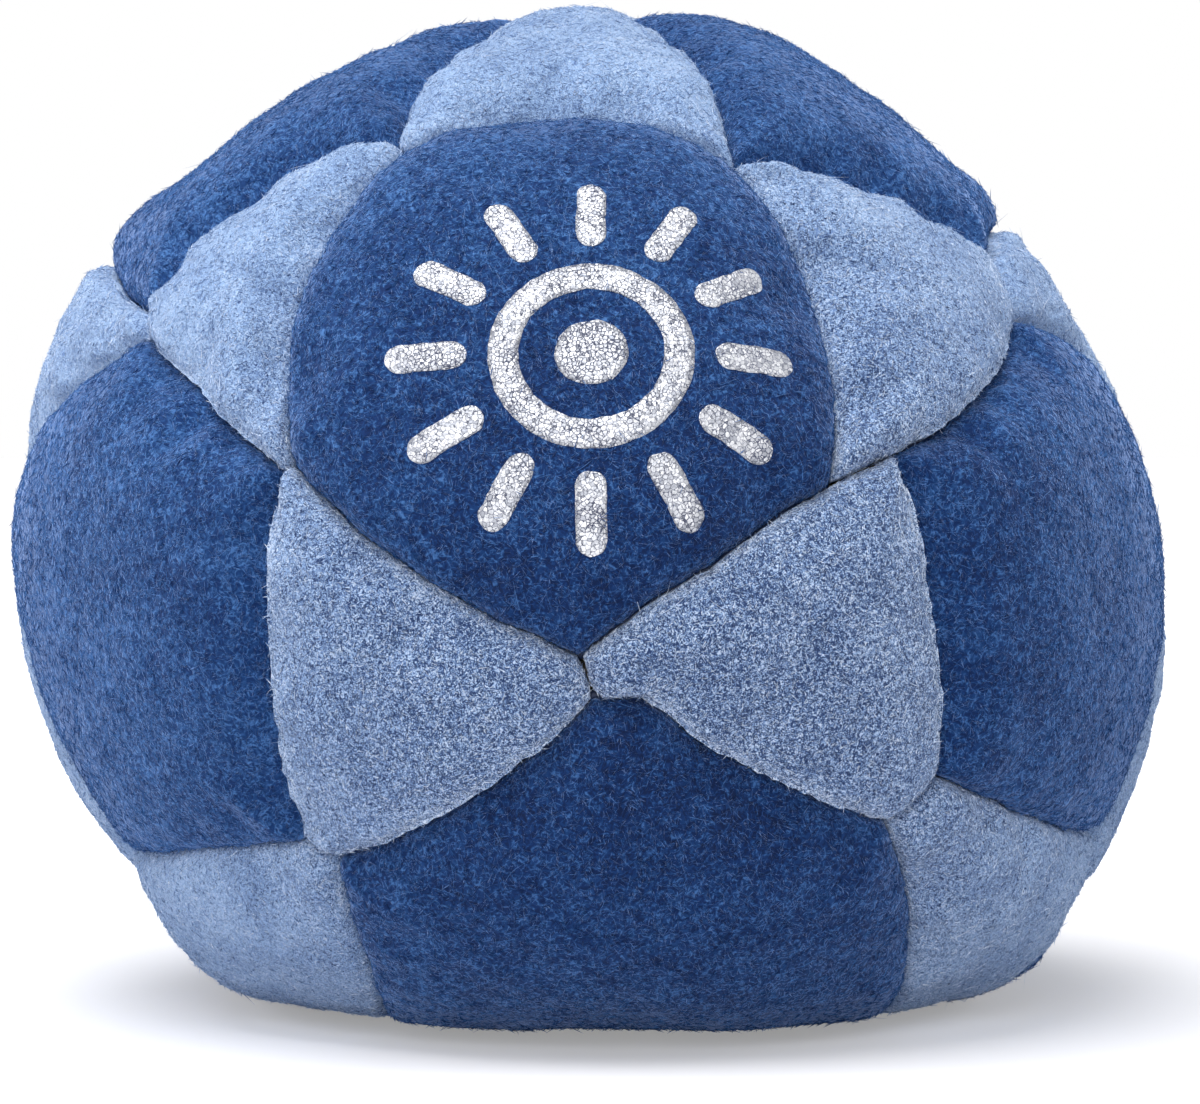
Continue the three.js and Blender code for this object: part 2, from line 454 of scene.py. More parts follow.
@dataclass
class SewnPattern:
    """How the panels lie on the ball: a pentagon on each corner of an icosahedron and a triangle
    on each of its faces, tipped back, with the corners and seams where the hand sewing put them.
    """

    ball_radius: float = 26 * MM
    tip_seam_length: float = 2 * MM
    tip_back: float = 23.0
    roll: float = 1.8
    swing: float = 0.8
    seam_steps: int = 40
    tip_steps: int = 4
    least_tip_seam: float = 0.1 * MM
    sway: float = 0.05 * MM
    sway_width: float = 2.6 * MM
    usual_bow: float = 0.012
    same_tip: float = 0.9993
    same_seam: float = 0.985
    # Azimuth and elevation of a pentagon's tip, and how far right and up it was sewn of there
    tip_shifts: tuple[tuple[float, float, float, float], ...] = (
        (1, -7, -0.95 * MM, -0.2 * MM),
        (1, -11, -0.35 * MM, 0.0),
        (29, 12, -2.55 * MM, -1.45 * MM),
        (33, 10, -1.2 * MM, 0.7 * MM),
        (-28, 11, -0.7 * MM, 0.2 * MM),
        (-32, 9, 0.65 * MM, 0.8 * MM),
        (-25, 44, -0.9 * MM, 1.3 * MM),
        (-30, 47, -0.5 * MM, 1.1 * MM),
        (23, 46, -0.3 * MM, 0.15 * MM),
        (28, 49, -1.7 * MM, -0.6 * MM),
        (4, 81, 1.4 * MM, 2.9 * MM),
        (-24, 80, -2.2 * MM, 2.4 * MM),
        (66, 30, -1.8 * MM, 1.8 * MM),
        (65, 26, -2.4 * MM, 0.6 * MM),
        (-65, 27, 2.8 * MM, -0.2 * MM),
        (-64, 23, 3.3 * MM, 0.5 * MM),
        (-34, -25, 0.75 * MM, -0.5 * MM),
        (-30, -28, 0.7 * MM, 0.1 * MM),
        (-72, -33, -0.5 * MM, 1.0 * MM),
        (37, -23, -0.4 * MM, 1.9 * MM),
        (33, -26, -0.85 * MM, 1.1 * MM),
        (74, -29, 0.0, 1.0 * MM),
        (-87, -2, -0.5 * MM, 3.4 * MM),
        (-91, -1, -0.5 * MM, 3.4 * MM),
        (89, 1, 0.0, 2.8 * MM),
        (93, 2, 0.0, 2.8 * MM),
        (39, -59, 2.6 * MM, 1.5 * MM),
        (-32, -61, -1.3 * MM, 1.2 * MM),
        (47, -61, 2.0 * MM, 1.0 * MM),
        (-41, -63, -1.0 * MM, 0.8 * MM),
    )
    # Azimuth and elevation of a seam's middle, and its bow towards the pentagon as a share
    seam_bows: SeamTable = (
        (-14, 2, -0.028),
        (15, 3, 0.005),
        (26, 29, -0.05),
        (-27, 28, -0.07),
        (-1, 48, -0.085),
        (-34, -8, -0.012),
        (35, -7, -0.006),
        (-15, -20, 0.012),
        (17, -19, -0.008),
        (-48, 38, 0.06),
        (49, 41, 0.02),
        (49, 19, 0.02),
        (-48, 17, -0.01),
        (-76, 11, -0.03),
        (77, 14, -0.08),
        (-53, -30, 0.025),
        (55, -27, 0.0),
        (21, 66, 0.015),
        (-28, 65, 0.02),
        (-83, 35, -0.03),
        (-31, -45, 0.03),
        (36, -43, -0.05),
    )
    # Azimuth and elevation of a seam's middle, and how far its pentagon laps over its triangle
    seam_laps: SeamTable = (
        (-14, 2, 0.25),
        (-27, 28, 0.35),
        (-1, 48, 0.6),
        (26, 29, 0.35),
        (15, 3, -0.5),
        (-34, -8, -0.9),
        (35, -7, -0.9),
        (-15, -20, -0.8),
        (17, -19, -0.7),
        (-48, 38, -0.9),
        (49, 41, -0.9),
        (49, 19, -1.0),
        (-48, 17, -0.8),
        (-31, -45, 0.3),
        (-53, -30, 0.4),
        (55, -27, 0.3),
        (36, -43, 0.3),
    )
    usual_lap: float = -0.5
    # Azimuth and elevation of a seam's middle, and how far it kinks away from the pentagon by a tip
    seam_kinks: SeamTable = ((17, -19, 0.85 * MM),)
    kink_share: float = 0.15
    kink_spread: float = 0.16
    # How steeply the sway, a lap and a kink rise from nothing at the seam's ends
    sway_rise: float = 4.0
    lap_rise: float = 1.6
    kink_rise: float = 12.0
    middles: list[np.ndarray] = field(init=False)
    faces: list[tuple[int, int, int]] = field(init=False)

    def __post_init__(self) -> None:
        """Turns an icosahedron so that a corner of it faces the viewer and leans back."""
        ball = bmesh.new()
        bmesh.ops.create_icosphere(ball, subdivisions=1, radius=1.0)
        ball.verts.ensure_lookup_table()
        self.faces = [tuple(vert.index for vert in face.verts) for face in ball.faces]
        corners = np.array([vert.co[:] for vert in ball.verts])
        ball.free()
        front, side, _ = self.faces[0]
        toward = unit(corners[front])
        place = unit(corners[front] + corners[side])
        down = unit(place - toward * (place @ toward))
        upright = np.array((np.cross(-toward, -down), -toward, -down))
        turn = (
            Matrix.Rotation(math.radians(self.swing), 3, "Z")
            @ Matrix.Rotation(math.radians(-self.roll), 3, "Y")
            @ Matrix.Rotation(math.radians(-self.tip_back), 3, "X")
        )
        self.middles = list(unit(corners @ upright.T @ np.array(turn).T))

    def sewn_at(self, tip: np.ndarray) -> np.ndarray:
        """Moves a tip to where it was sewn.

        Args:
            tip: A tip of the even pattern, as a direction.

        Returns:
            The direction that the tip was sewn at.
        """
        for azimuth, elevation, right, up in self.tip_shifts:
            if direction_at(azimuth, elevation) @ tip > self.same_tip:
                east = unit(np.cross(UP, tip))
                return unit(tip + (east * right + np.cross(tip, east) * up) / self.ball_radius)
        return tip

    def for_seam(self, table: SeamTable, place: np.ndarray, usual: float) -> float:
        """Looks a seam up in a table.

        Args:
            table: Azimuths, elevations and values.
            place: The direction of the seam's middle in the even pattern.
            usual: The value of a seam that isn't in the table.

        Returns:
            The seam's value.
        """
        for azimuth, elevation, value in table:
            if direction_at(azimuth, elevation) @ place > self.same_seam:
                return value
        return usual

    def even_tip(self, pentagon: int, other: int) -> np.ndarray:
        """Finds a pentagon's tip beside another pentagon, half a tip seam short of it.

        Args:
            pentagon: The number of the pentagon that has the tip.
            other: The number of the pentagon beside it.

        Returns:
            The tip of the even pattern, as a direction.
        """
        middle = self.middles[pentagon]
        place = unit(middle + self.middles[other])
        inward = unit(middle - place * (middle @ place))
        return unit(place + inward * (self.tip_seam_length / 2 / self.ball_radius))

    def long_seam(
        self, pentagon: int, face: tuple[int, int, int]
    ) -> tuple[np.ndarray, np.ndarray]:
        """Sews the seam between a pentagon and a triangle.

        Args:
            pentagon: The pentagon's number.
            face: The numbers of the three pentagons round the triangle.

        Returns:
            The directions along the seam, and how far the pentagon laps over the triangle at
            each.
        """
        at = face.index(pentagon)
        tips = [self.even_tip(pentagon, face[(at + step) % 3]) for step in (1, 2)]
        place = unit(tips[0] + tips[1])
        start, end = (self.sewn_at(tip) for tip in tips)
        chord_middle = unit(start + end)
        middle = self.middles[pentagon]
        inward = unit(middle - chord_middle * (middle @ chord_middle))
        shares = np.linspace(0.0, 1.0, self.seam_steps + 1)[:, None]
        arch = np.sin(np.pi * shares)
        straight = unit(start + (end - start) * shares)
        ripples = Ripples(self.sway_width, seed=5).at(straight * self.ball_radius)[:, None]
        sway = self.sway / self.ball_radius * ripples * np.minimum(arch * self.sway_rise, 1.0)
        bow = self.for_seam(self.seam_bows, place, self.usual_bow)
        lap = self.for_seam(self.seam_laps, place, self.usual_lap)
        kink = self.for_seam(self.seam_kinks, place, 0.0)
        along = shares if (start @ UP) > (end @ UP) else 1.0 - shares
        kinked = np.exp(-(((along - self.kink_share) / self.kink_spread) ** 2))
        kinked = kinked * np.minimum(np.minimum(along, 1.0 - along) * self.kink_rise, 1.0)
        offset = bow * arch + sway - kinked * kink / self.ball_radius
        return unit(straight + inward * offset), (lap * np.minimum(arch * self.lap_rise, 1.0))[:, 0]

    def closed(self, kind: PanelKind, seams: list[tuple[np.ndarray, np.ndarray]]) -> Outline:
        """Joins a panel's long seams round it, with tip seams where they don't meet.

        Args:
            kind: The panel's kind.
            seams: The directions and the laps of its long seams, in any order.

        Returns:
            The panel's outline.
        """
        middle = unit(np.concatenate([line for line, _ in seams]).sum(axis=0))
        side = 1.0 if kind is PanelKind.PENTAGON else -1.0
        aligned = []
        for line, laps in seams:
            ahead = 1 if np.cross(line[0], line[-1]) @ middle > 0.0 else -1
            aligned.append((line[::ahead], laps[::ahead] * side))
        aligned.sort(key=lambda seam: turns_about(middle, seam[0].sum(axis=0)))
        rows, numbers, over = [], [], []
        for number, (line, laps) in enumerate(aligned):
            after = aligned[(number + 1) % len(aligned)][0][0]
            rows.append(line[:-1])
            over.append(laps[:-1])
            numbers += [2 * number] * (len(line) - 1)
            if np.linalg.norm(line[-1] - after) * self.ball_radius > self.least_tip_seam:
                shares = np.linspace(0.0, 1.0, self.tip_steps, endpoint=False)[:, None]
                rows.append(unit(line[-1] + (after - line[-1]) * shares))
                over.append(np.zeros(self.tip_steps))
                numbers += [2 * number + 1] * self.tip_steps
        return Outline(kind, middle, np.concatenate(rows), np.array(numbers), np.concatenate(over))

    def outlines(self) -> list[Outline]:
        """Sews all panels.

        Returns:
            Their outlines, pentagons first.
        """
        made = []
        for pentagon in range(len(self.middles)):
            seams = [self.long_seam(pentagon, face) for face in self.faces if pentagon in face]
            made.append(self.closed(PanelKind.PENTAGON, seams))
        for face in self.faces:
            seams = [self.long_seam(pentagon, face) for pentagon in face]
            made.append(self.closed(PanelKind.TRIANGLE, seams))
        return made


@dataclass
class SandPressure:
    """How the sand swells the panels, found by simulating them as cloth held at their seams.

    The simulation runs thirty times larger, where Blender's cloth is steady.
    """

    form: SlumpedForm
    enlarged: float = 30.0
    every: int = 4
    rings: int = 10
    frames: int = 20
    pressure: float = 4.0
    slack: float = 0.025
    stretch_stiffness: float = 20.0
    bending_stiffness: float = 0.5
    most: float = 1.08

    def loose_skin(self, outline: Outline) -> tuple[bpy.types.Object, np.ndarray, np.ndarray]:
        """Makes a coarse panel as cloth, with its rim pinned and the pressure on.

        Args:
            outline: The panel's outline.

        Returns:
            The cloth, and the ring and place in it of each of its points.
        """
        edge = outline.directions[:: self.every]
        radii = np.linspace(0.0, 1.0, self.rings + 1)[1:]
        mesh = ringed_disc(radii, len(edge))
        rings, corners = rings_and_corners(mesh, radii, len(edge))
        shares = (rings / self.rings)[:, None]
        directions = unit(outline.middle + (edge[corners] - outline.middle) * shares)
        place_points(mesh, self.form.outside(directions) * self.enlarged)
        skin = placed("skin", mesh)
        pinned = skin.vertex_groups.new(name="sewn")
        pinned.add(np.flatnonzero(rings == self.rings).tolist(), 1.0, "REPLACE")
        cloth = skin.modifiers.new("cloth", "CLOTH")
        cloth.point_cache.frame_end = self.frames
        settings = cloth.settings
        settings.vertex_group_mass = pinned.name
        settings.use_pressure = True
        settings.uniform_pressure_force = self.pressure
        settings.shrink_min = -self.slack
        settings.tension_stiffness = self.stretch_stiffness
        settings.compression_stiffness = self.stretch_stiffness
        settings.bending_stiffness = self.bending_stiffness
        settings.effector_weights.gravity = 0.0
        return skin, rings, corners

    def swell(self, outlines: list[Outline]) -> list[np.ndarray]:
        """Runs the simulation on all panels at once.

        Args:
            outlines: The panels' outlines.

        Returns:
            For each panel the swelling by ring and place, one where a panel is usually fullest.
        """
        skins = [self.loose_skin(outline) for outline in outlines]
        starts = [points_of(skin.data) for skin, _, _ in skins]
        scene = bpy.context.scene
        for frame in range(1, self.frames + 1):
            scene.frame_set(frame)
        graph = bpy.context.evaluated_depsgraph_get()
        grown = []
        for (skin, rings, corners), start in zip(skins, starts):
            ends = points_of(skin.evaluated_get(graph).data)
            out = ((ends - start) * unit(start)).sum(axis=1)
            grid = np.zeros((self.rings + 1, corners.max() + 1))
            grid[rings, corners] = out
            grid[0] = out[rings == 0]
            grown.append(grid)
        for skin, _, _ in skins:
            bpy.data.objects.remove(skin)
        scene.frame_set(1)
        kinds = np.array([outline.kind is PanelKind.PENTAGON for outline in outlines])
        tops = np.array([grid.max() for grid in grown])
        least, full = (float(top) / self.enlarged / MM for top in (tops.min(), tops.max()))
        LOG.info("the sand swells the panels by %.2f to %.2f mm", least, full)
        usual = np.where(kinds, np.median(tops[kinds]), np.median(tops[~kinds]))
        return [np.minimum(grid / top, self.most) for grid, top in zip(grown, usual)]


def linear(hex_colour: str) -> tuple[float, float, float, float]:
    """Returns an sRGB hex colour as a linear one.

    Args:
        hex_colour: Six hex digits.

    Returns:
        Red, green, blue and an alpha of one.
    """
    channels = [int(hex_colour[i : i + 2], 16) / 255 for i in (0, 2, 4)]
    low = [c / 12.92 if c <= 0.04045 else ((c + 0.055) / 1.055) ** 2.4 for c in channels]
    return (*low, 1.0)


Value = float | bpy.types.NodeSocket


@dataclass(frozen=True)
class Nodes:
    """A node tree, with short calls for the nodes that the finishes and the room share."""

    tree: bpy.types.NodeTree

    def fill(self, node: bpy.types.Node, sockets: dict[str | int, object]) -> None:
        """Sets a node's inputs.

        Args:
            node: The node.
            sockets: A value, or another node's output to link, for each input.
        """
        for name, value in sockets.items():
            if isinstance(value, bpy.types.NodeSocket):
                self.tree.links.new(value, node.inputs[name])
            else:
                node.inputs[name].default_value = value

    def add(
        self,
        kind: str,
        settings: dict[str, object] | None = None,
        sockets: dict[str | int, object] | None = None,
    ) -> bpy.types.Node:
        """Adds a node with its settings and its links.

        Args:
            kind: The node's type.
            settings: Properties of the node.
            sockets: A value, or another node's output to link, for each input.

        Returns:
            The new node.
        """
        node = self.tree.nodes.new(kind)
        for name, value in (settings or {}).items():
            setattr(node, name, value)
        self.fill(node, sockets or {})
        return node

    def place(self) -> bpy.types.NodeSocket:
        """Returns the place on the piece."""
        return self.add("ShaderNodeTexCoord").outputs["Object"]

    def maths(self, operation: str, *values: Value) -> bpy.types.NodeSocket:
        """Returns the result of a sum on some values."""
        sockets = dict(enumerate(values))
        return self.add("ShaderNodeMath", {"operation": operation}, sockets).outputs["Value"]

    def vectors(self, operation: str, *values: object) -> bpy.types.Node:
        """Adds a sum on some vectors."""
        sockets = dict(enumerate(values))
        return self.add("ShaderNodeVectorMath", {"operation": operation}, sockets)

    def clouds(
        self,
        where: bpy.types.NodeSocket,
        width: float,
        detail: float = 2.0,
        distortion: float = 0.0,
    ) -> bpy.types.Node:
        """Adds a cloudy pattern.

        Args:
            where: The place on the piece.
            width: The width of a cloud, in metres.
            detail: How many times smaller clouds lie in a cloud.
            distortion: How much the clouds curl.

        Returns:
            The pattern's node.
        """
        values = {
            "Vector": where,
            "Scale": 1.0 / width,
            "Detail": detail,
            "Distortion": distortion,
        }
        return self.add("ShaderNodeTexNoise", {}, values)

    def cells(
        self, where: bpy.types.NodeSocket, width: float, feature: str = "F1"
    ) -> bpy.types.Node:
        """Adds a pattern of cells.

        Args:
            where: The place on the piece.
            width: The width of a cell, in metres.
            feature: What the distance is measured to.

        Returns:
            The pattern's node.
        """
        values = {"Vector": where, "Scale": 1.0 / width}
        return self.add("ShaderNodeTexVoronoi", {"feature": feature}, values)

    def ranged(
        self,
        value: bpy.types.NodeSocket,
        low: Value,
        high: Value,
        to: tuple[float, float] = (0.0, 1.0),
        steps: str = "SMOOTHSTEP",
    ) -> bpy.types.NodeSocket:
        """Maps a range of a value onto another range.

        Args:
            value: The value.
            low: Where the range starts.
            high: Where it ends.
            to: What its start and its end become.
            steps: How the values between run, eased at both ends or even.

        Returns:
            The mapped value.
        """
        values = {"Value": value, "From Min": low, "From Max": high}
        values.update({"To Min": to[0], "To Max": to[1]})
        node = self.add("ShaderNodeMapRange", {"interpolation_type": steps}, values)
        return node.outputs["Result"]

    def ramp(self, value: bpy.types.NodeSocket, *stops: tuple[float, str]) -> bpy.types.NodeSocket:
        """Turns a value into a colour.

        Args:
            value: The value.
            stops: Values with the sRGB hex colours that they become.

        Returns:
            The colour.
        """
        node = self.add("ShaderNodeValToRGB", {}, {"Fac": value})
        elements = node.color_ramp.elements
        for element, (position, colour) in zip(elements, (stops[0], stops[-1])):
            element.position, element.color = position, linear(colour)
        for position, colour in stops[1:-1]:
            elements.new(position).color = linear(colour)
        return node.outputs["Color"]

    def bump(
        self, height: bpy.types.NodeSocket, strength: float, distance: float, invert: bool = False
    ) -> bpy.types.NodeSocket:
        """Gives a surface a fine relief.

        Args:
            height: The relief, mostly between nought and one.
            strength: How much of it shows.
            distance: How high it is, in metres.
            invert: Whether high values lie deep.

        Returns:
            The normal.
        """
        values = {"Height": height, "Strength": strength, "Distance": distance}
        return self.add("ShaderNodeBump", {"invert": invert}, values).outputs["Normal"]

    def seen_directly(self) -> bpy.types.NodeSocket:
        """Returns one for what the camera or a shiny print sees, nought for plain light."""
        path = self.add("ShaderNodeLightPath").outputs
        return self.maths("MAXIMUM", path["Is Camera Ray"], path["Is Glossy Ray"])


def cleared(owner: bpy.types.Material | bpy.types.World) -> Nodes:
    """Empties the node tree of a material or a world.

    Args:
        owner: What has the tree.

    Returns:
        The empty tree.
    """
    owner.use_nodes = True
    owner.node_tree.nodes.clear()
    return Nodes(owner.node_tree)


def new_material(name: str) -> tuple[bpy.types.Material, Nodes, bpy.types.Node]:
    """Makes a material with nothing but its shader.

    Args:
        name: The material's name.

    Returns:
        The material, its tree and the shader.
    """
    material = bpy.data.materials.new(name)
    nodes = cleared(material)
    shader = nodes.add("ShaderNodeBsdfPrincipled")
    nodes.add("ShaderNodeOutputMaterial", {}, {"Surface": shader.outputs[0]})
    return material, nodes, shader


@dataclass(frozen=True)
class NappedSuede:
    """Synthetic suede, a non-woven felt of microfibre sanded to a nap: it looks dry, with curled
    fibres over dark pits that are partly its own mottle and partly painted shade, darkened towards
    the front of the bag by painted shade, and a pale bloom where it turns away.
    """

    name: str
    pit: str
    shade: str
    middle: str
    bright: str
    bloom: str
    sheen: float
    grain: float
    grain_tone: float
    curl: float
    curl_tone: float
    # How far painted shade darkens the suede at the front of the bag
    front_shade_tone: float
    least_contrast: float
    most_contrast: float
    fibre_length: float
    fibre_width: float
    fibre_spread: float
    tone_stops: tuple[float, ...] = (0.1, 0.3, 0.5, 0.9)
    detail: float = 1.0
    grain_twist: float = 1.2
    grain_range: tuple[float, float] = (0.3, 0.7)
    curl_width: float = 0.04
    curl_twist: float = 0.8
    curl_breaks: tuple[float, float] = (0.4, 0.56)
    bloom_spread: float = 0.36
    mottle: float = 3.0 * MM
    mottle_tone: float = 0.3
    mottle_twist: float = 0.5
    relief: float = 0.06 * MM
    relief_strength: float = 0.8
    roughness: float = 0.92
    shine: float = 0.2
    # Where the front of the bag lies and how far from it painted shade darkens the suede and
    # strengthens its texture
    front_shade_at: tuple[float, float, float] = (4 * MM, -26 * MM, 17 * MM)
    front_shade_reach: float = 28 * MM
    # Where each layer of curled fibres reads the pattern, so that the layers differ
    curl_layers: tuple[tuple[float, float, float], ...] = (
        (0.0, 0.0, 0.0),
        (3.1 * MM, 7.7 * MM, 1.3 * MM),
        (9.2 * MM, 2.4 * MM, 5.8 * MM),
    )

    def curls(self, nodes: Nodes, where: bpy.types.NodeSocket) -> bpy.types.NodeSocket:
        """Draws curled fibres: soft lines where a smooth noise passes its middle value, broken
        off here and there.

        Args:
            nodes: The material's tree.
            where: The place on the piece.

        Returns:
            One on a fibre and nought between fibres.
        """
        woven = None
        for shift in self.curl_layers:
            moved = nodes.vectors("ADD", where, shift).outputs["Vector"]
            clouds = nodes.clouds(moved, self.curl, self.detail, self.curl_twist)
            away = nodes.maths("SUBTRACT", clouds.outputs["Fac"], 0.5)
            line = nodes.ranged(nodes.maths("ABSOLUTE", away), self.curl_width, 0.0)
            breaks = nodes.clouds(moved, self.curl / 2, self.detail).outputs["Fac"]
            line = nodes.maths("MULTIPLY", line, nodes.ranged(breaks, *self.curl_breaks))
            woven = line if woven is None else nodes.maths("MAXIMUM", woven, line)
        return woven

    def front_shade_and_contrast(self, nodes: Nodes, where: bpy.types.NodeSocket) -> bpy.types.NodeSocket:
        """Returns one at the front of the bag and nought far from there: painted shade darkens the
        suede most there, and its texture is strongest.
        """
        away = nodes.vectors("DISTANCE", where, self.front_shade_at).outputs["Value"]
        return nodes.ranged(away, self.front_shade_reach, self.front_shade_reach / 6)

    def build(self) -> bpy.types.Material:
        """Makes the material.

        Returns:
            The material.
        """
        material, nodes, shader = new_material(self.name)
        where = nodes.place()
        front_shade_and_contrast = self.front_shade_and_contrast(nodes, where)
        clumps = nodes.clouds(where, self.grain, self.detail, self.grain_twist).outputs["Fac"]
        clumps = nodes.ranged(clumps, *self.grain_range)
        nap = nodes.maths("MULTIPLY_ADD", clumps, self.grain_tone, -self.grain_tone / 2)
        nap = nodes.maths("MULTIPLY_ADD", self.curls(nodes, where), self.curl_tone, nap)
        strand = nodes.add("ShaderNodeAttribute", {"attribute_name": "tone"}).outputs["Fac"]
        tuft = nodes.maths("ADD", nap, strand)
        gain = self.most_contrast - self.least_contrast
        contrast = nodes.maths("MULTIPLY_ADD", front_shade_and_contrast, gain, self.least_contrast)
        # Painted shade: the tone is lowered towards the front of the bag
        base = nodes.maths("MULTIPLY_ADD", front_shade_and_contrast, -self.front_shade_tone, 0.5 - self.mottle_tone / 2)
        mottling = nodes.clouds(where, self.mottle, self.detail, self.mottle_twist).outputs["Fac"]
        mottled = nodes.maths("MULTIPLY_ADD", mottling, self.mottle_tone, base)
        tone = nodes.maths("MULTIPLY_ADD", tuft, contrast, mottled)
        # The lower stops are partly the suede's own mottle and partly painted shade of the hollows
        # between its fibres
        colours = (self.pit, self.shade, self.middle, self.bright)
        nodes.fill(
            shader,
            {
                "Base Color": nodes.ramp(tone, *zip(self.tone_stops, colours)),
                "Roughness": self.roughness,
                "Specular IOR Level": self.shine,
                "Sheen Weight": self.sheen,
                "Sheen Roughness": self.bloom_spread,
                "Sheen Tint": linear(self.bloom),
                "Normal": nodes.bump(nap, self.relief_strength, self.relief),
            },
        )
        return material


@dataclass(frozen=True)
class SpunThread:
    """Bonded polyester sewing thread: dark, smooth and a little shiny along its plies."""

    name: str = "bonded_polyester_thread"
    colour: str = "16233f"
    pale: str = "24365c"
    ply_width: float = 0.3 * MM
    roughness: float = 0.55

    def build(self) -> bpy.types.Material:
        """Makes the material.

        Returns:
            The material.
        """
        material, nodes, shader = new_material(self.name)
        plies = nodes.clouds(nodes.place(), self.ply_width).outputs["Fac"]
        colour = nodes.ramp(plies, (0.0, self.colour), (1.0, self.pale))
        nodes.fill(shader, {"Base Color": colour, "Roughness": self.roughness})
        return material


@dataclass(frozen=True)
class LooseSand:
    """Dry washed sand in several tones, drawn darker than pale sand so that the seam gaps where it
    shows read dark: painted shade.
    """

    name: str = "dry_sand"
    # Both tones are darkened as painted shade for the seam gaps
    shade: str = "463d2d"
    bright: str = "8a7b5b"
    grain: float = 0.4 * MM
    relief: float = 0.1 * MM
    relief_strength: float = 0.8
    roughness: float = 0.95

    def build(self) -> bpy.types.Material:
        """Makes the material.

        Returns:
            The material.
        """
        material, nodes, shader = new_material(self.name)
        grains = nodes.cells(nodes.place(), self.grain).outputs
        colour = nodes.ramp(grains["Color"], (0.0, self.shade), (1.0, self.bright))
        rough = nodes.bump(grains["Distance"], self.relief_strength, self.relief, invert=True)
        nodes.fill(shader, {"Base Color": colour, "Roughness": self.roughness, "Normal": rough})
        return material


@dataclass(frozen=True)
class StampedFoil:
    """Metallised polyester film stamped hot onto the nap: silver flakes that crumple and catch
    the light, with the dark suede showing in the cracks between them.
    """

    name: str = "stamped_silver_foil"
    silver: str = "cfd0d4"
    shaded: str = "7d818b"
    crack: str = "16244a"
    flake: float = 0.17 * MM
    flake_bend: float = 0.7
    crumple: float = 0.1 * MM
    crumple_share: float = 2.0
    wear_width: float = 1.2 * MM
    wear_range: tuple[float, float] = (0.35, 0.7)
    crack_widths: tuple[float, float] = (0.05, 0.16)
    relief: float = 0.06 * MM
    relief_strength: float = 0.6
    roughness: float = 0.42

    def build(self) -> bpy.types.Material:
        """Makes the material.

        Returns:
            The material.
        """
        material, nodes, shader = new_material(self.name)
        where = nodes.place()
        crumple = nodes.clouds(where, self.crumple).outputs
        bend = (self.flake_bend * self.flake,) * 3
        bent = nodes.vectors("MULTIPLY_ADD", crumple["Color"], bend, where).outputs["Vector"]
        edges = nodes.cells(bent, self.flake, "DISTANCE_TO_EDGE").outputs["Distance"]
        worn = nodes.clouds(where, self.wear_width).outputs["Fac"]
        opened = nodes.ranged(worn, *self.wear_range, self.crack_widths, "LINEAR")
        whole = nodes.ranged(edges, 0.0, opened)
        flakes = nodes.cells(bent, self.flake).outputs["Color"]
        film = nodes.ramp(flakes, (0.0, self.shaded), (1.0, self.silver))
        values = {"Factor": whole, "A": linear(self.crack), "B": film}
        colour = nodes.add("ShaderNodeMix", {"data_type": "RGBA"}, values).outputs["Result"]
        height = nodes.maths("MULTIPLY_ADD", crumple["Fac"], self.crumple_share, whole)
        nodes.fill(
            shader,
            {
                "Base Color": colour,
                "Metallic": whole,
                "Roughness": self.roughness,
                "Normal": nodes.bump(height, self.relief_strength, self.relief),
            },
        )
        return material


DARK_SUEDE = NappedSuede(
    name="dark_blue_suede",
    pit="04183e",
    shade="082758",
    middle="143a6e",
    bright="4c79b4",
    bloom="b0cbff",
    sheen=1.0,
    grain=0.25 * MM,
    grain_tone=0.28,
    curl=0.48 * MM,
    curl_tone=0.3,
    front_shade_tone=0.23,
    least_contrast=0.9,
    most_contrast=1.15,
    fibre_length=0.3 * MM,
    fibre_width=0.055 * MM,
    fibre_spread=0.11,
)
LIGHT_SUEDE = NappedSuede(
    name="light_blue_suede",
    pit="2c416b",
    shade="6883b1",
    middle="90add5",
    bright="dfeafa",
    bloom="dce8fc",
    sheen=0.5,
    grain=0.11 * MM,
    grain_tone=0.28,
    curl=0.22 * MM,
    curl_tone=-0.4,
    front_shade_tone=0.1,
    least_contrast=0.62,
    most_contrast=2.4,
    fibre_length=0.22 * MM,
    fibre_width=0.06 * MM,
    fibre_spread=0.18,
)


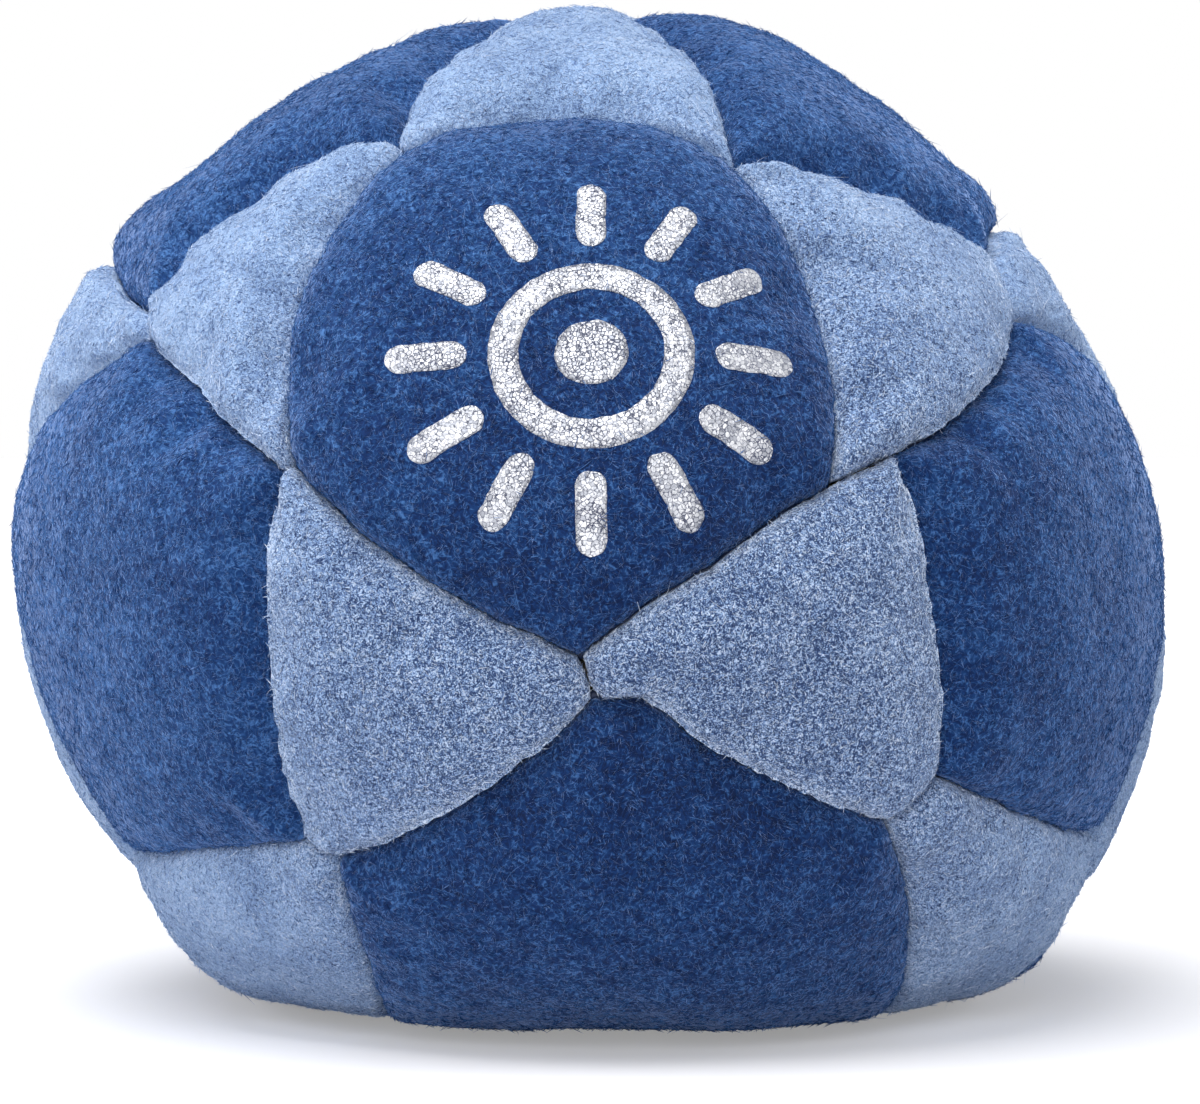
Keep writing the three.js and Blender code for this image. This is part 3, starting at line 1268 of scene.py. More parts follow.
@dataclass
class SuedePanel:
    """One panel: a flat cut, sewn onto the form and swollen by the sand."""

    outline: Outline
    form: SlumpedForm
    swell: np.ndarray
    suede_thickness: float = 0.9 * MM
    crown_dip: float = 1.1 * MM
    pentagon_crown: float = 1.05 * MM
    triangle_crown: float = 1.0 * MM
    fold_radius: float = 0.6 * MM
    seam_allowance: float = 2.0 * MM
    seam_gap: float = 0.12 * MM
    least_lean: float = 0.3
    ragged: float = 0.045 * MM
    ragged_width: float = 0.5 * MM
    lap_reach: float = 0.25 * MM
    triangle_retreat: float = 0.05 * MM
    lap_drop: float = 0.55 * MM
    lap_width: float = 1.5 * MM
    splay: float = math.radians(25.2)
    straight_share: float = 1.8
    back_share: float = 1.2
    pucker_depth: float = 0.17 * MM
    pucker_reach: float = 2.2 * MM
    pucker_width: float = 2.2 * MM
    rumple: float = 0.04 * MM
    rumple_width: float = 2.6 * MM
    pressed_height: float = 4.0 * MM
    pressed_share: float = 0.4
    rim_width: float = 0.5 * MM
    rim_tone: float = 0.12
    face_rings: int = 34
    ring_crowding: float = 1.6
    corner_power: float = 4.0
    smoothing_passes: int = 4
    block_rows: int = 4000
    turn_step: int = 3
    radii: np.ndarray = field(init=False)
    insets: np.ndarray = field(init=False)
    face: np.ndarray = field(init=False)
    face_normals: np.ndarray = field(init=False)

    def __post_init__(self) -> None:
        """Lays the face on the form."""
        even = np.linspace(0.0, 1.0, self.face_rings + 1)
        self.radii = 1.0 - (1.0 - even) ** self.ring_crowding
        edge = self.outline.directions * self.form.ball_radius
        pentagon = self.outline.kind is PanelKind.PENTAGON
        ragged = self.ragged * Ripples(self.ragged_width, seed=17 if pentagon else 23).at(edge)
        retreat = self.lap_reach if pentagon else self.triangle_retreat
        laps = self.outline.laps * np.where(self.outline.laps > 0.0, self.lap_reach, retreat)
        self.insets = self.seam_gap / 2 + ragged - laps
        directions = self.outline.spread(self.radii[:, None] * self.edge_shares())
        rows = directions.reshape(-1, 3)
        height = self.pentagon_crown if pentagon else self.triangle_crown
        depths = self.face_depths(rows) + self.crown_dip - height * self.full_swell().ravel()
        pressed = np.exp(-self.form.outside(rows)[:, 2] / self.pressed_height)
        depths *= 1.0 - self.pressed_share * pressed
        self.face = self.form.under(rows, depths).reshape(directions.shape)
        self.face[:, :, 2] = np.maximum(self.face[:, :, 2], 0.0)
        self.face[0] = self.face[0].mean(axis=0)
        outward = np.gradient(self.face, axis=0)
        round_it = np.roll(self.face, -1, axis=1) - np.roll(self.face, 1, axis=1)
        round_it[0] = round_it[1]
        self.face_normals = unit(np.cross(outward, round_it))

    def spokes(self) -> np.ndarray:
        """Returns how far along the ball each point of the outline is from the middle."""
        lean = np.clip(self.outline.directions @ self.outline.middle, -1.0, 1.0)
        return self.form.ball_radius * np.arccos(lean)

    def seam_reach(self) -> np.ndarray:
        """Finds how far the seam at each point of the outline passes from the middle.

        Where a kinked seam runs almost towards the middle, a least share of the point's own
        distance stands in for it.

        Returns:
            The distances along the ball.
        """
        corners = self.outline.directions
        across = unit(np.cross(corners, np.roll(corners, -1, axis=0)))
        reach = self.form.ball_radius * np.arcsin(np.abs(across @ self.outline.middle))
        return np.maximum(np.minimum(reach, np.roll(reach, 1)), self.least_lean * self.spokes())

    def edge_shares(self) -> np.ndarray:
        """Returns the share of the way to the seam at which the face folds in."""
        return 1.0 - self.insets / self.seam_reach()

    def full_swell(self) -> np.ndarray:
        """Reads the coarse swelling at the face's own rings and points.

        Returns:
            The swelling, smoothed, by ring and point.
        """
        rows = np.linspace(0.0, 1.0, len(self.swell))
        fine = np.array([np.interp(self.radii, rows, column) for column in self.swell.T]).T
        closed = np.column_stack((fine, fine[:, :1]))
        count = len(self.outline.directions)
        at = np.arange(count) * (closed.shape[1] - 1) / count
        fine = np.array([np.interp(at, np.arange(closed.shape[1]), row) for row in closed])
        for _ in range(self.smoothing_passes):
            fine = (np.roll(fine, 1, axis=1) + 2.0 * fine + np.roll(fine, -1, axis=1)) / 4.0
            fine[1:-1] = (fine[:-2] + 2.0 * fine[1:-1] + fine[2:]) / 4.0
        fine[0] = fine[0].mean()
        return fine

    def seam_distances(self, directions: np.ndarray) -> tuple[np.ndarray, np.ndarray]:
        """Measures how far places on the face are from the sewing.

        Args:
            directions: The places.

        Returns:
            The distance to the seams, rounded off where several are near, and the number of the
            nearest point of the outline for each place.
        """
        starts = (self.outline.directions * self.form.ball_radius).astype(np.float32)
        steps = np.roll(starts, -1, axis=0) - starts
        places = (directions * self.form.ball_radius).astype(np.float32)
        offsets = places[:, None, :] - starts[None, :, :]
        along = np.einsum("psx,sx->ps", offsets, steps) / (steps * steps).sum(axis=1)
        offsets -= np.clip(along, 0.0, 1.0)[:, :, None] * steps
        gaps = np.sqrt(np.einsum("psx,psx->ps", offsets, offsets))
        near = np.zeros(len(places))
        for number in np.unique(self.outline.seam_numbers):
            of_seam = gaps[:, self.outline.seam_numbers == number].min(axis=1)
            near += (of_seam.astype(float) + DOUBLED) ** -self.corner_power
        return near ** (-1.0 / self.corner_power), gaps.argmin(axis=1)

    def face_depths(self, directions: np.ndarray) -> np.ndarray:
        """Finds how much deeper than its crown the face lies, for its fold and its puckers.

        Args:
            directions: Places on the face, one row each.

        Returns:
            The depth of each place.
        """
        gaps, nearest = self.seam_distances(directions)
        gaps = np.maximum(gaps - self.insets[nearest], 0.0)
        inside = np.clip(self.fold_radius - gaps, 0.0, self.fold_radius)
        fold = self.fold_radius - np.sqrt(self.fold_radius**2 - inside**2)
        feet = self.outline.directions[nearest] * self.form.ball_radius
        puckers = Ripples(self.pucker_width, seed=11).at(feet) * np.exp(-gaps / self.pucker_reach)
        rumple = Ripples(self.rumple_width, seed=19).at(directions * self.form.ball_radius)
        lapped = -np.minimum(self.outline.laps, 0.0)[nearest]
        low = self.lap_drop * lapped * np.exp(-((gaps / self.lap_width) ** 2))
        soft = np.minimum(gaps / self.fold_radius, 1.0)
        return fold + (self.pucker_depth * puckers + self.rumple * rumple) * soft + low

    def turned_in(self) -> tuple[np.ndarray, np.ndarray]:
        """Finds the rings beyond the fold: the allowance, its raw edge and the inner side.

        Returns:
            The share of the way to the seam and the depth of each ring and point.
        """
        turned = self.seam_gap / 2 + self.seam_allowance * math.tan(self.splay)
        wall = self.suede_thickness / math.cos(self.splay)
        bottom = self.crown_dip + self.fold_radius
        rim = bottom + self.seam_allowance
        halfway = rim - self.seam_allowance / 2
        knee = bottom + self.suede_thickness
        back = self.suede_thickness * self.back_share
        reach = self.seam_reach()
        whole = np.ones_like(reach)
        # How far short of the seam each ring stops, and how deep it lies
        rings = (
            (self.insets, self.crown_dip + self.fold_radius * self.straight_share),
            ((self.insets + turned) / 2, halfway),
            (turned * whole, rim),
            ((turned + wall) * whole, rim),
            ((wall + self.seam_gap) * whole, knee),
            ((turned + wall) * whole, back),
            (reach, self.suede_thickness),
        )
        shares = np.array([1.0 - short / reach for short, _ in rings])
        return shares, np.array([depth for _, depth in rings])[:, None] * whole

    def sew(self, name: str, material: bpy.types.Material) -> bpy.types.Object:
        """Cuts the panel flat and lays it on the form.

        Args:
            name: The piece's name.
            material: Its suede.

        Returns:
            The sewn panel.
        """
        count = len(self.outline.directions)
        shares, depths = self.turned_in()
        radii = np.concatenate((self.radii[1:], 2.0 + np.arange(len(shares))))
        mesh = ringed_disc(radii, count)
        rings, corners = rings_and_corners(mesh, radii, count)
        directions = self.outline.spread(shares)
        under = self.form.under(directions.reshape(-1, 3), depths.ravel())
        grid = np.concatenate((self.face, under.reshape(directions.shape)))
        points = grid[rings, corners]
        points[:, 2] = np.maximum(points[:, 2], 0.0)
        place_points(mesh, points)
        add_tones(mesh, self.rim_tones(points))
        joined_and_outward(mesh)
        return add_piece(name, mesh, material)

    def rim_tones(self, points: np.ndarray) -> np.ndarray:
        """Finds how much paler the suede is drawn near the rim of its face.

        Args:
            points: Points of the panel, one row each.

        Returns:
            The tone to add at each.
        """
        edge = self.face[-1]
        gaps = np.full(len(points), np.inf)
        for start in range(0, len(points), self.block_rows):
            block = slice(start, start + self.block_rows)
            offsets = points[block, None, :] - edge[None, :, :]
            gaps[block] = np.sqrt((offsets**2).sum(axis=2)).min(axis=1)
        return self.rim_tone * np.exp(-gaps / self.rim_width)

    def locate(self, directions: np.ndarray) -> tuple[np.ndarray, np.ndarray]:
        """Finds where directions meet the face.

        Args:
            directions: Unit vectors from the middle of the ball, one row each.

        Returns:
            The places, in rings out and in points round.
        """
        middle = self.outline.middle
        turns = np.unwrap(turns_about(middle, self.outline.directions))
        turns = np.append(turns, turns[0] + math.tau)
        seen = turns[0] + (turns_about(middle, directions) - turns[0]) % math.tau
        along = np.interp(seen, turns, np.arange(len(turns)))
        lean = np.tan(np.arccos(np.clip(directions @ middle, -1.0, 1.0)))
        to_edge = np.arccos(np.clip(unit(self.outline.between(along)) @ middle, -1.0, 1.0))
        shares = lean / (np.sin(to_edge) + lean * (1.0 - np.cos(to_edge)))
        edge = np.interp(along, np.arange(len(turns)), np.append(self.edge_shares(), 1.0))
        return np.interp(shares / edge, self.radii, np.arange(len(self.radii))), along


@dataclass
class Nap:
    """The fibres that the sanding raises on a panel's face."""

    panel: SuedePanel
    seed: int
    length: float
    width: float
    tone_spread: float = 0.18
    per_square_mm: float = 33.0
    lowest_tilt: float = 3.0
    highest_tilt: float = 26.0
    length_spread: float = 0.35
    width_shares: tuple[float, float] = (0.7, 1.3)
    bend: float = 0.5
    sections: int = 1
    tip_width: float = 0.1
    # The fibres are drawn paler than the face they stand on: partly their own colour and partly
    # painted shade on the face between them
    tone: float = 0.11
    rim_rings: int = 6
    rim_crowding: float = 1.6
    rim_stretch: float = 0.9
    sunk: float = 0.01 * MM
    lowest_root: float = 0.25 * MM
    lowest_point: float = 0.02 * MM

    def places(self, chance: np.random.Generator) -> tuple[np.ndarray, np.ndarray]:
        """Spreads places evenly over the face.

        Args:
            chance: Where the random numbers come from.

        Returns:
            The places, in rings out and in points round.
        """
        face = self.panel.face
        outward = face[1:] - face[:-1]
        round_it = (np.roll(face, -1, axis=1) - face)[1:]
        areas = np.linalg.norm(np.cross(outward, round_it), axis=2)
        areas[0] /= 2
        areas[-self.rim_rings :] *= self.rim_crowding
        count = int(areas.sum() / MM**2 * self.per_square_mm)
        cells = chance.choice(areas.size, count, p=areas.ravel() / areas.sum())
        rings, along = np.divmod(cells, areas.shape[1])
        return rings + chance.random(count), along + chance.random(count)

    def raise_fibres(
        self, name: str, material: bpy.types.Material, printed: FoilPrint | None = None
    ) -> bpy.types.Object:
        """Sets one tapered fibre on each place.

        Args:
            name: The piece's name.
            material: The fibres' finish.
            printed: The print that presses the fibres of this panel flat, if it has one.

        Returns:
            The nap, one piece of many small closed fibres.
        """
        chance = np.random.default_rng(self.seed)
        rings, along = self.places(chance)
        roots = blended(self.panel.face, rings, along)
        normals = unit(blended(self.panel.face_normals, rings, along))
        kept = roots[:, 2] > self.lowest_root
        if printed:
            kept &= ~printed.covers(roots)
        roots, normals = roots[kept], normals[kept]
        count = len(roots)
        tilt = np.radians(chance.uniform(self.lowest_tilt, self.highest_tilt, count))[:, None]
        heading = chance.uniform(0.0, math.tau, count)[:, None]
        east = square_to(normals)
        lying = east * np.cos(heading) + np.cross(normals, east) * np.sin(heading)
        axis = lying * np.cos(tilt) + normals * np.sin(tilt)
        side = unit(np.cross(axis, normals))
        outer = rings[kept] > len(self.panel.face) - 1 - self.rim_rings
        stretch = np.where(outer, self.rim_stretch, 1.0)
        lengths = self.length * stretch * np.exp(chance.normal(0.0, self.length_spread, count))
        widths = self.width * chance.uniform(*self.width_shares, count)
        bends = self.bend * chance.normal(0.0, 1.0, count)
        mesh = self.repeated_fibre(count)
        shape = points_of(mesh).reshape(count, -1, 3)
        along_it = shape[:, :, 2:3]
        rows = (side, np.cross(side, axis), axis, roots - normals * self.sunk)
        aside, above, ahead, start = (vectors[:, None, :] for vectors in rows)
        wide, long, curved = (values[:, None, None] for values in (widths, lengths, bends))
        points = start + aside * (shape[:, :, 0:1] * wide + along_it**2 * curved * long)
        points = points + above * (shape[:, :, 1:2] * wide)
        points = points + ahead * (along_it * (1.0 - 0.5 * along_it * curved**2) * long)
        points[:, :, 2] = np.maximum(points[:, :, 2], self.lowest_point)
        place_points(mesh, points)
        tones = chance.normal(self.tone, self.tone_spread, count) + self.panel.rim_tones(roots)
        add_tones(mesh, np.repeat(tones, points.shape[1]))
        return add_piece(name, mesh, material)

    def repeated_fibre(self, count: int) -> bpy.types.Mesh:
        """Repeats one fibre, a slim cone of unit width and length.

        Args:
            count: How many fibres there are.

        Returns:
            A mesh of them all, one after another, in the same place.
        """
        fibre = bmesh.new()
        bmesh.ops.create_cone(
            fibre,
            cap_ends=True,
            cap_tris=False,
            segments=3,
            radius1=0.5,
            radius2=self.tip_width / 2,
            depth=1.0,
        )
        bmesh.ops.translate(fibre, verts=fibre.verts, vec=(0.0, 0.0, 0.5))
        if self.sections > 1:
            rises = {edge: edge.verts[0].co.z - edge.verts[1].co.z for edge in fibre.edges}
            upright = [edge for edge, rise in rises.items() if abs(rise) > 0.5]
            bmesh.ops.subdivide_edges(
                fibre, edges=upright, cuts=self.sections - 1, use_grid_fill=True
            )
        else:
            tip = [vert for vert in fibre.verts if vert.co.z > 0.5]
            bmesh.ops.pointmerge(fibre, verts=tip, merge_co=(0.0, 0.0, 1.0))
        single = placed("fibre", mesh_from(fibre, "fibre"))
        rows = single.modifiers.new("rows", "ARRAY")
        rows.count = count
        rows.use_relative_offset = False
        bpy.context.view_layer.update()
        seen = single.evaluated_get(bpy.context.evaluated_depsgraph_get())
        repeated = bpy.data.meshes.new_from_object(seen)
        bpy.data.objects.remove(single)
        return repeated


def stray_hairs(panel: SuedePanel, seed: int) -> Nap:
    """Picks the few long, pale, curled hairs that have worked loose on a panel.

    Args:
        panel: The panel.
        seed: The panel's number, for its random draws.

    Returns:
        The hairs, as a thin nap.
    """
    return Nap(
        panel,
        seed + 50,
        length=0.8 * MM,
        width=0.032 * MM,
        per_square_mm=0.25,
        lowest_tilt=2.0,
        highest_tilt=13.0,
        sections=6,
        tone=0.45,
    )


@dataclass
class FoilPrint:
    """A plain sun in hot-stamped silver foil, pressed into the nap of the front panel."""

    panel: SuedePanel
    azimuth: float = 0.0
    elevation: float = 21.0
    disc_radius: float = 1.5 * MM
    disc_segments: int = 36
    ring_radius: float = 3.6 * MM
    ring_segments: int = 90
    stroke: float = 1.25 * MM
    ray_count: int = 12
    ray_start: float = 5.1 * MM
    ray_length: float = 3.4 * MM
    ray_steps: tuple[int, int] = (6, 24)
    least_end: float = 0.02
    thickness: float = 0.04 * MM
    sunk: float = 0.01 * MM
    ragged: float = 0.03 * MM
    ragged_width: float = 0.55 * MM
    middle: np.ndarray = field(init=False)
    right: np.ndarray = field(init=False)
    up: np.ndarray = field(init=False)

    def __post_init__(self) -> None:
        """Sets the middle of the print and its directions right and up."""
        self.middle = direction_at(self.azimuth, self.elevation)
        self.right = unit(np.cross(UP, self.middle))
        self.up = np.cross(self.middle, self.right)

    def covers(self, points: np.ndarray) -> np.ndarray:
        """Tells which points of the suede lie under foil.

        Args:
            points: The points, one row each.

        Returns:
            Whether each is covered.
        """
        directions = unit(points - UP * self.panel.form.seat_depth)
        lean = np.arccos(np.clip(directions @ self.middle, -1.0, 1.0))
        away = lean * self.panel.form.ball_radius
        turn = np.arctan2(directions @ self.up, directions @ self.right)
        pitch = math.tau / self.ray_count
        off_ray = np.abs((turn + pitch / 2) % pitch - pitch / 2) * away
        end = self.ray_start + self.ray_length
        on_ray = (off_ray < self.stroke / 2) & (away > self.ray_start) & (away < end)
        on_ring = np.abs(away - self.ring_radius) < self.stroke / 2
        return on_ray | on_ring | (away < self.disc_radius)

    def add_rays(self, shape: bmesh.types.BMesh) -> None:
        """Adds the flat rays, each a bar with round ends.

        Args:
            shape: The flat foil, which is changed.
        """
        half_width, half_length = self.stroke / 2, self.ray_length / 2
        across, upward = self.ray_steps
        for number in range(self.ray_count):
            bar = bmesh.ops.create_grid(shape, x_segments=across, y_segments=upward, size=1.0)
            for vert in bar["verts"]:
                up = math.sin(vert.co.y * math.pi / 2) * half_length
                into_end = max(abs(up) - half_length + half_width, 0.0) / half_width
                vert.co.x *= half_width * math.sqrt(max(1.0 - into_end**2, self.least_end))
                vert.co.y = up + self.ray_start + half_length
            turn = Matrix.Rotation(math.tau * number / self.ray_count, 3, "Z")
            bmesh.ops.rotate(shape, verts=bar["verts"], matrix=turn)

    def stamp(self, name: str, material: bpy.types.Material) -> bpy.types.Object:
        """Cuts the foil flat, gives it its thickness and presses it onto the panel.

        Args:
            name: The piece's name.
            material: The foil.

        Returns:
            The print.
        """
        shape = bmesh.new()
        disc = self.disc_radius * np.linspace(0.0, 1.0, 5)
        add_flat_band(shape, disc, self.disc_segments)
        ring = self.ring_radius + self.stroke * np.linspace(-0.5, 0.5, 5)
        add_flat_band(shape, ring, self.ring_segments)
        self.add_rays(shape)
        bmesh.ops.recalc_face_normals(shape, faces=shape.faces)
        bmesh.ops.solidify(shape, geom=shape.faces[:], thickness=self.thickness)
        bmesh.ops.recalc_face_normals(shape, faces=shape.faces)
        mesh = mesh_from(shape, name)
        flat = points_of(mesh)
        heights = flat[:, 2] - flat[:, 2].min() - self.sunk
        plane = flat * (1.0 - UP)
        across = flat[:, 0] + self.ragged * Ripples(self.ragged_width, seed=29).at(plane)
        upward = flat[:, 1] + self.ragged * Ripples(self.ragged_width, seed=31).at(plane)
        lean = (np.hypot(across, upward) / self.panel.form.ball_radius)[:, None]
        toward = self.right * across[:, None] + self.up * upward[:, None]
        directions = self.middle * np.cos(lean) + unit(toward) * np.sin(lean)
        rings, along = self.panel.locate(directions)
        points = blended(self.panel.face, rings, along)
        points = points + unit(blended(self.panel.face_normals, rings, along)) * heights[:, None]
        place_points(mesh, points)
        joined_and_outward(mesh)
        return add_piece(name, mesh, material)


@dataclass
class SeamThread:
    """The ring of thread round one pentagon, in the V between the turned-in allowances."""

    outline: Outline
    form: SlumpedForm
    diameter: float = 0.5 * MM
    depth: float = 2.2 * MM
    section_points: int = 12
    plies: int = 3
    ply_pitch: int = 6
    ply_swell: float = 0.12

    def ring(self, name: str) -> bpy.types.Mesh:
        """Spins a plain ring of unit radius, with a section at each point of the outline.

        Args:
            name: The mesh's name.

        Returns:
            The flat ring.
        """
        ring = bmesh.new()
        section = bmesh.ops.create_circle(
            ring, cap_ends=False, segments=self.section_points, radius=self.diameter / 2
        )["verts"]
        bmesh.ops.rotate(ring, verts=section, matrix=Matrix.Rotation(math.pi / 2, 3, "X"))
        bmesh.ops.translate(ring, verts=section, vec=(1.0, 0.0, 0.0))
        bmesh.ops.spin(
            ring,
            geom=ring.verts[:] + ring.edges[:],
            cent=(0.0, 0.0, 0.0),
            axis=(0.0, 0.0, 1.0),
            angle=math.tau,
            steps=len(self.outline.directions),
            use_merge=True,
        )
        return mesh_from(ring, name)

    def lay(self, name: str, material: bpy.types.Material) -> bpy.types.Object:
        """Gives a ring of thread its twisted plies and lays it along the seams.

        Args:
            name: The piece's name.
            material: The thread's finish.

        Returns:
            The thread.
        """
        mesh = self.ring(name)
        flat = points_of(mesh)
        count = len(self.outline.directions)
        turns = np.arctan2(flat[:, 1], flat[:, 0]) / math.tau
        corners = np.round(turns * count).astype(int) % count
        across = np.hypot(flat[:, 0], flat[:, 1]) - 1.0
        lift = flat[:, 2]
        angle = np.arctan2(lift, across) * self.plies + turns * math.tau * count / self.ply_pitch
        swell = 1.0 + self.ply_swell * np.cos(angle)
        edge = self.outline.directions
        ahead = (np.roll(edge, -1, axis=0) - np.roll(edge, 1, axis=0))[corners]
        directions = edge[corners]
        sideways = unit(np.cross(ahead, self.form.normals(directions)))
        points = self.form.under(directions, self.depth - lift * swell)
        place_points(mesh, points + sideways * (across * swell)[:, None])
        joined_and_outward(mesh)
        return add_piece(name, mesh, material)


@dataclass
class Footbag:
    """The whole bag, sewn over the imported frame."""

    form: SlumpedForm = field(default_factory=SlumpedForm)
    pattern: SewnPattern = field(default_factory=SewnPattern)
    front_elevation: float = 20.0
    sand_depth: float = 3.1 * MM
    sand_detail: int = 5

    def node_for(self, outline: Outline, nodes: dict[str, bpy.types.Object]) -> str:
        """Finds the frame's node for a panel.

        Args:
            outline: The panel's outline.
            nodes: The frame's nodes by name.

        Returns:
            The name of the node of the same kind that lies nearest to the outline.
        """
        here = self.form.outside(outline.middle[None, :])[0]
        names = [name for name in nodes if name.startswith(outline.kind.value)]

        def gap(name: str) -> float:
            """Returns how far the middle of a node's box is from the outline's middle."""
            low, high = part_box(name)
            return float(np.linalg.norm((np.array(low) + np.array(high)) / 2 - here))

        return min(names, key=gap)

    def declare(self, piece: bpy.types.Object, slot: str, *nodes: str) -> None:
        """Makes a piece ride on the bag's one body.

        Args:
            piece: The piece.
            slot: Not used.
            nodes: The nodes that it stands for, if any.
        """
        if nodes:
            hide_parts(*nodes)
        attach(piece, "root")
        LOG.info("%s: %d faces", piece.name, len(piece.data.polygons))

    def fill(self, name: str, material: bpy.types.Material) -> bpy.types.Object:
        """Pours the sand: one body that follows the form inside the suede.

        Args:
            name: The piece's name.
            material: The sand.

        Returns:
            The fill.
        """
        ball = bmesh.new()
        bmesh.ops.create_icosphere(ball, subdivisions=self.sand_detail, radius=1.0)
        mesh = mesh_from(ball, name)
        directions = unit(points_of(mesh))
        place_points(mesh, self.form.under(directions, np.full(len(directions), self.sand_depth)))
        joined_and_outward(mesh)
        return add_piece(name, mesh, material)

    def sew(self, nodes: dict[str, bpy.types.Object]) -> None:
        """Sews every panel and lays every thread in place of its node.

        Args:
            nodes: The frame's nodes by name.
        """
        suedes = {
            PanelKind.PENTAGON: (DARK_SUEDE, DARK_SUEDE.build(), "dark_suede"),
            PanelKind.TRIANGLE: (LIGHT_SUEDE, LIGHT_SUEDE.build(), "light_suede"),
        }
        thread = SpunThread().build()
        outlines = self.pattern.outlines()
        sand = SandPressure(self.form)
        swells = sand.swell(outlines)
        viewer = direction_at(0.0, self.front_elevation)
        front = max(outlines, key=lambda outline: outline.middle @ viewer)
        for outline, swell in zip(outlines, swells):
            node = self.node_for(outline, nodes)
            number = int(node[-2:])
            suede, material, slot = suedes[outline.kind]
            panel = SuedePanel(outline, self.form, swell)
            piece = panel.sew("sewn_" + node, material)
            self.declare(piece, slot, node)
            printed = FoilPrint(panel) if outline is front else None
            nap = Nap(panel, number, suede.fibre_length, suede.fibre_width, suede.fibre_spread)
            nap = nap.raise_fibres("nap_" + node, material, printed)
            self.declare(nap, slot)
            loose = stray_hairs(panel, number).raise_fibres("strays_" + node, material)
            self.declare(loose, slot)
            if printed:
                foil = printed.stamp("foil_sun", StampedFoil().build())
                self.declare(foil, slot)
            if outline.kind is PanelKind.PENTAGON:
                laid_name = node.replace("pentagon_panel", "seam_thread")
                laid = SeamThread(outline, self.form).lay("laid_" + laid_name, thread)
                self.declare(laid, "navy_thread", laid_name)
        filled = self.fill("poured_sand", LooseSand().build())
        self.declare(filled, "sand", "sand_fill")


@dataclass(frozen=True)
class Softbox:
    """A square area lamp that faces the bag, in metres and watts."""

    name: str
    place: tuple[float, float, float]
    size: float
    power: float

    def hang(self, aim_height: float) -> None:
        """Hangs the lamp.

        Args:
            aim_height: How high above the table it aims.
        """
        data = bpy.data.lights.new(self.name, "AREA")
        data.shape = "SQUARE"
        data.size = self.size
        data.energy = self.power
        lamp = placed(self.name, data)
        lamp.location = self.place
        aim = Vector((0.0, 0.0, aim_height)) - Vector(self.place)
        lamp.rotation_euler = aim.to_track_quat("-Z", "Y").to_euler()


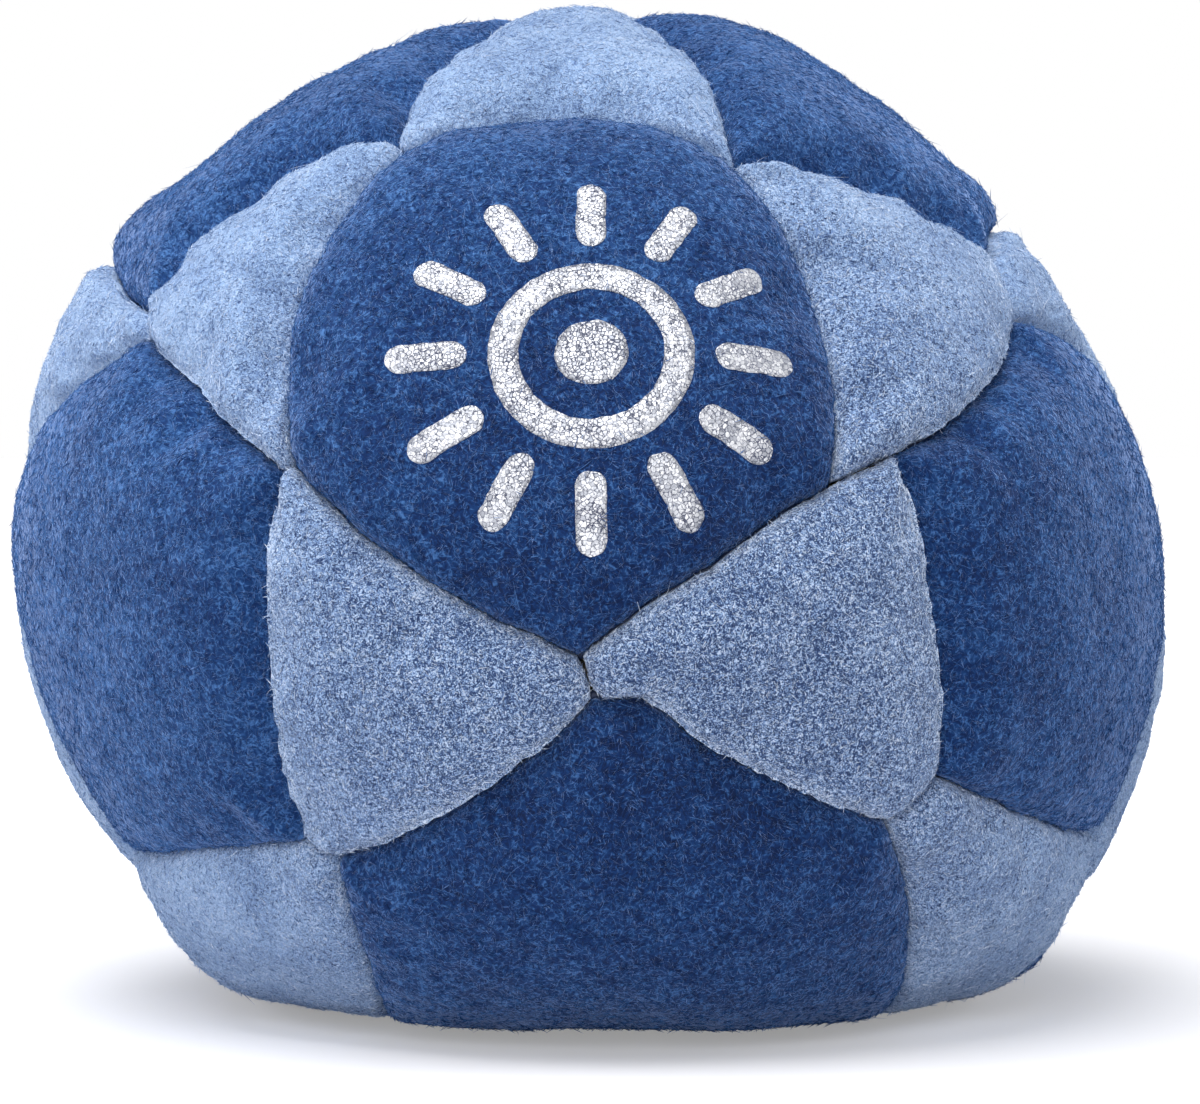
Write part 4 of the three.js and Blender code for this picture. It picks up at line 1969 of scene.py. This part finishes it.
@dataclass
class Studio:
    """A white table under soft lamps, and the camera of the photograph."""

    # The photograph's size and, in its pixels, where the ball stands in it
    photo_width: float = 1200.0
    photo_height: float = 1104.0
    middle_column: float = 591.0
    middle_row: float = 559.0
    ball_half_width: float = 588.0
    ball_radius: float = 26 * MM
    ball_height: float = 19.6 * MM
    distance: float = 195 * MM
    elevation: float = 2.0
    sensor_width: float = 36.0
    nearest: float = 10 * MM
    furthest: float = 10.0
    softboxes: tuple[Softbox, ...] = (
        Softbox("overhead", (-0.06, -0.08, 0.42), 0.34, 2.35),
        Softbox("front", (-0.04, -0.42, 0.17), 0.2, 0.75),
        Softbox("left", (-0.42, 0.06, 0.12), 0.3, 0.95),
        Softbox("right", (0.42, 0.1, 0.12), 0.3, 0.82),
    )
    room_light: float = 0.08
    table_half: float = 2.0
    table_colour: str = "dcdce0"
    table_roughness: float = 0.9
    table_lift: float = 0.3
    shadow_reach: float = 90 * MM

    def set_camera(self) -> None:
        """Places the camera at the photograph's viewing angle."""
        camera = placed("camera", bpy.data.cameras.new("camera"))
        bpy.context.scene.camera = camera
        back = Vector(direction_at(0.0, self.elevation))
        camera.location = Vector((0.0, 0.0, self.ball_height)) + back * self.distance
        camera.rotation_euler = (-back).to_track_quat("-Z", "Y").to_euler()
        spread = math.sqrt((self.distance / self.ball_radius) ** 2 - 1.0)
        focal = self.ball_half_width * spread
        camera.data.sensor_width = self.sensor_width
        camera.data.lens = focal / self.photo_width * self.sensor_width
        camera.data.shift_x = (self.photo_width / 2 - self.middle_column) / self.photo_width
        camera.data.shift_y = (self.middle_row - self.photo_height / 2) / self.photo_width
        camera.data.clip_start = self.nearest
        camera.data.clip_end = self.furthest

    def light(self) -> None:
        """Hangs the lamps and fills the room with plain light, white where it is seen."""
        for softbox in self.softboxes:
            softbox.hang(self.ball_height)
        world = bpy.data.worlds.new("room")
        bpy.context.scene.world = world
        nodes = cleared(world)
        room, seen = (
            nodes.add("ShaderNodeBackground", {}, {"Color": WHITE, "Strength": strength}).outputs[0]
            for strength in (self.room_light, 1.0)
        )
        values = {0: nodes.seen_directly(), 1: room, 2: seen}
        mix = nodes.add("ShaderNodeMixShader", {}, values)
        nodes.add("ShaderNodeOutputWorld", {}, {"Surface": mix.outputs[0]})

    def lay_floor(self) -> None:
        """Lays the white table, which keeps the bag's shadow."""
        table = bmesh.new()
        bmesh.ops.create_grid(table, x_segments=2, y_segments=2, size=self.table_half)
        mesh = mesh_from(table, "table_top")
        mesh.materials.append(self.table_finish())
        placed("table_top", mesh)

    def table_finish(self) -> bpy.types.Material:
        """Makes the table's white laminate. What the camera or a shiny print sees of it is
        lifted to white, all of it further out, so that the table runs into the white room and
        keeps the bag's shadow.

        Returns:
            The material.
        """
        material, nodes, shader = new_material("white_laminate")
        out = nodes.vectors("LENGTH", nodes.place()).outputs["Value"]
        edge = self.shadow_reach
        further = nodes.ranged(out, edge / 2, edge, (self.table_lift, 1.0))
        nodes.fill(
            shader,
            {
                "Base Color": linear(self.table_colour),
                "Roughness": self.table_roughness,
                "Emission Color": WHITE,
                "Emission Strength": nodes.maths("MULTIPLY", nodes.seen_directly(), further),
            },
        )
        return material

    def build(self) -> None:
        """Sets the camera, the lamps and the table."""
        self.set_camera()
        self.light()
        self.lay_floor()
        bpy.context.scene.view_settings.view_transform = "Standard"


def main() -> None:
    """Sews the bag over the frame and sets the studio."""
    logging.basicConfig(level=logging.INFO, format="%(message)s")
    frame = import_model()
    Footbag().sew(frame["nodes"])
    Studio().build()


if __name__ == "__main__":
    main()
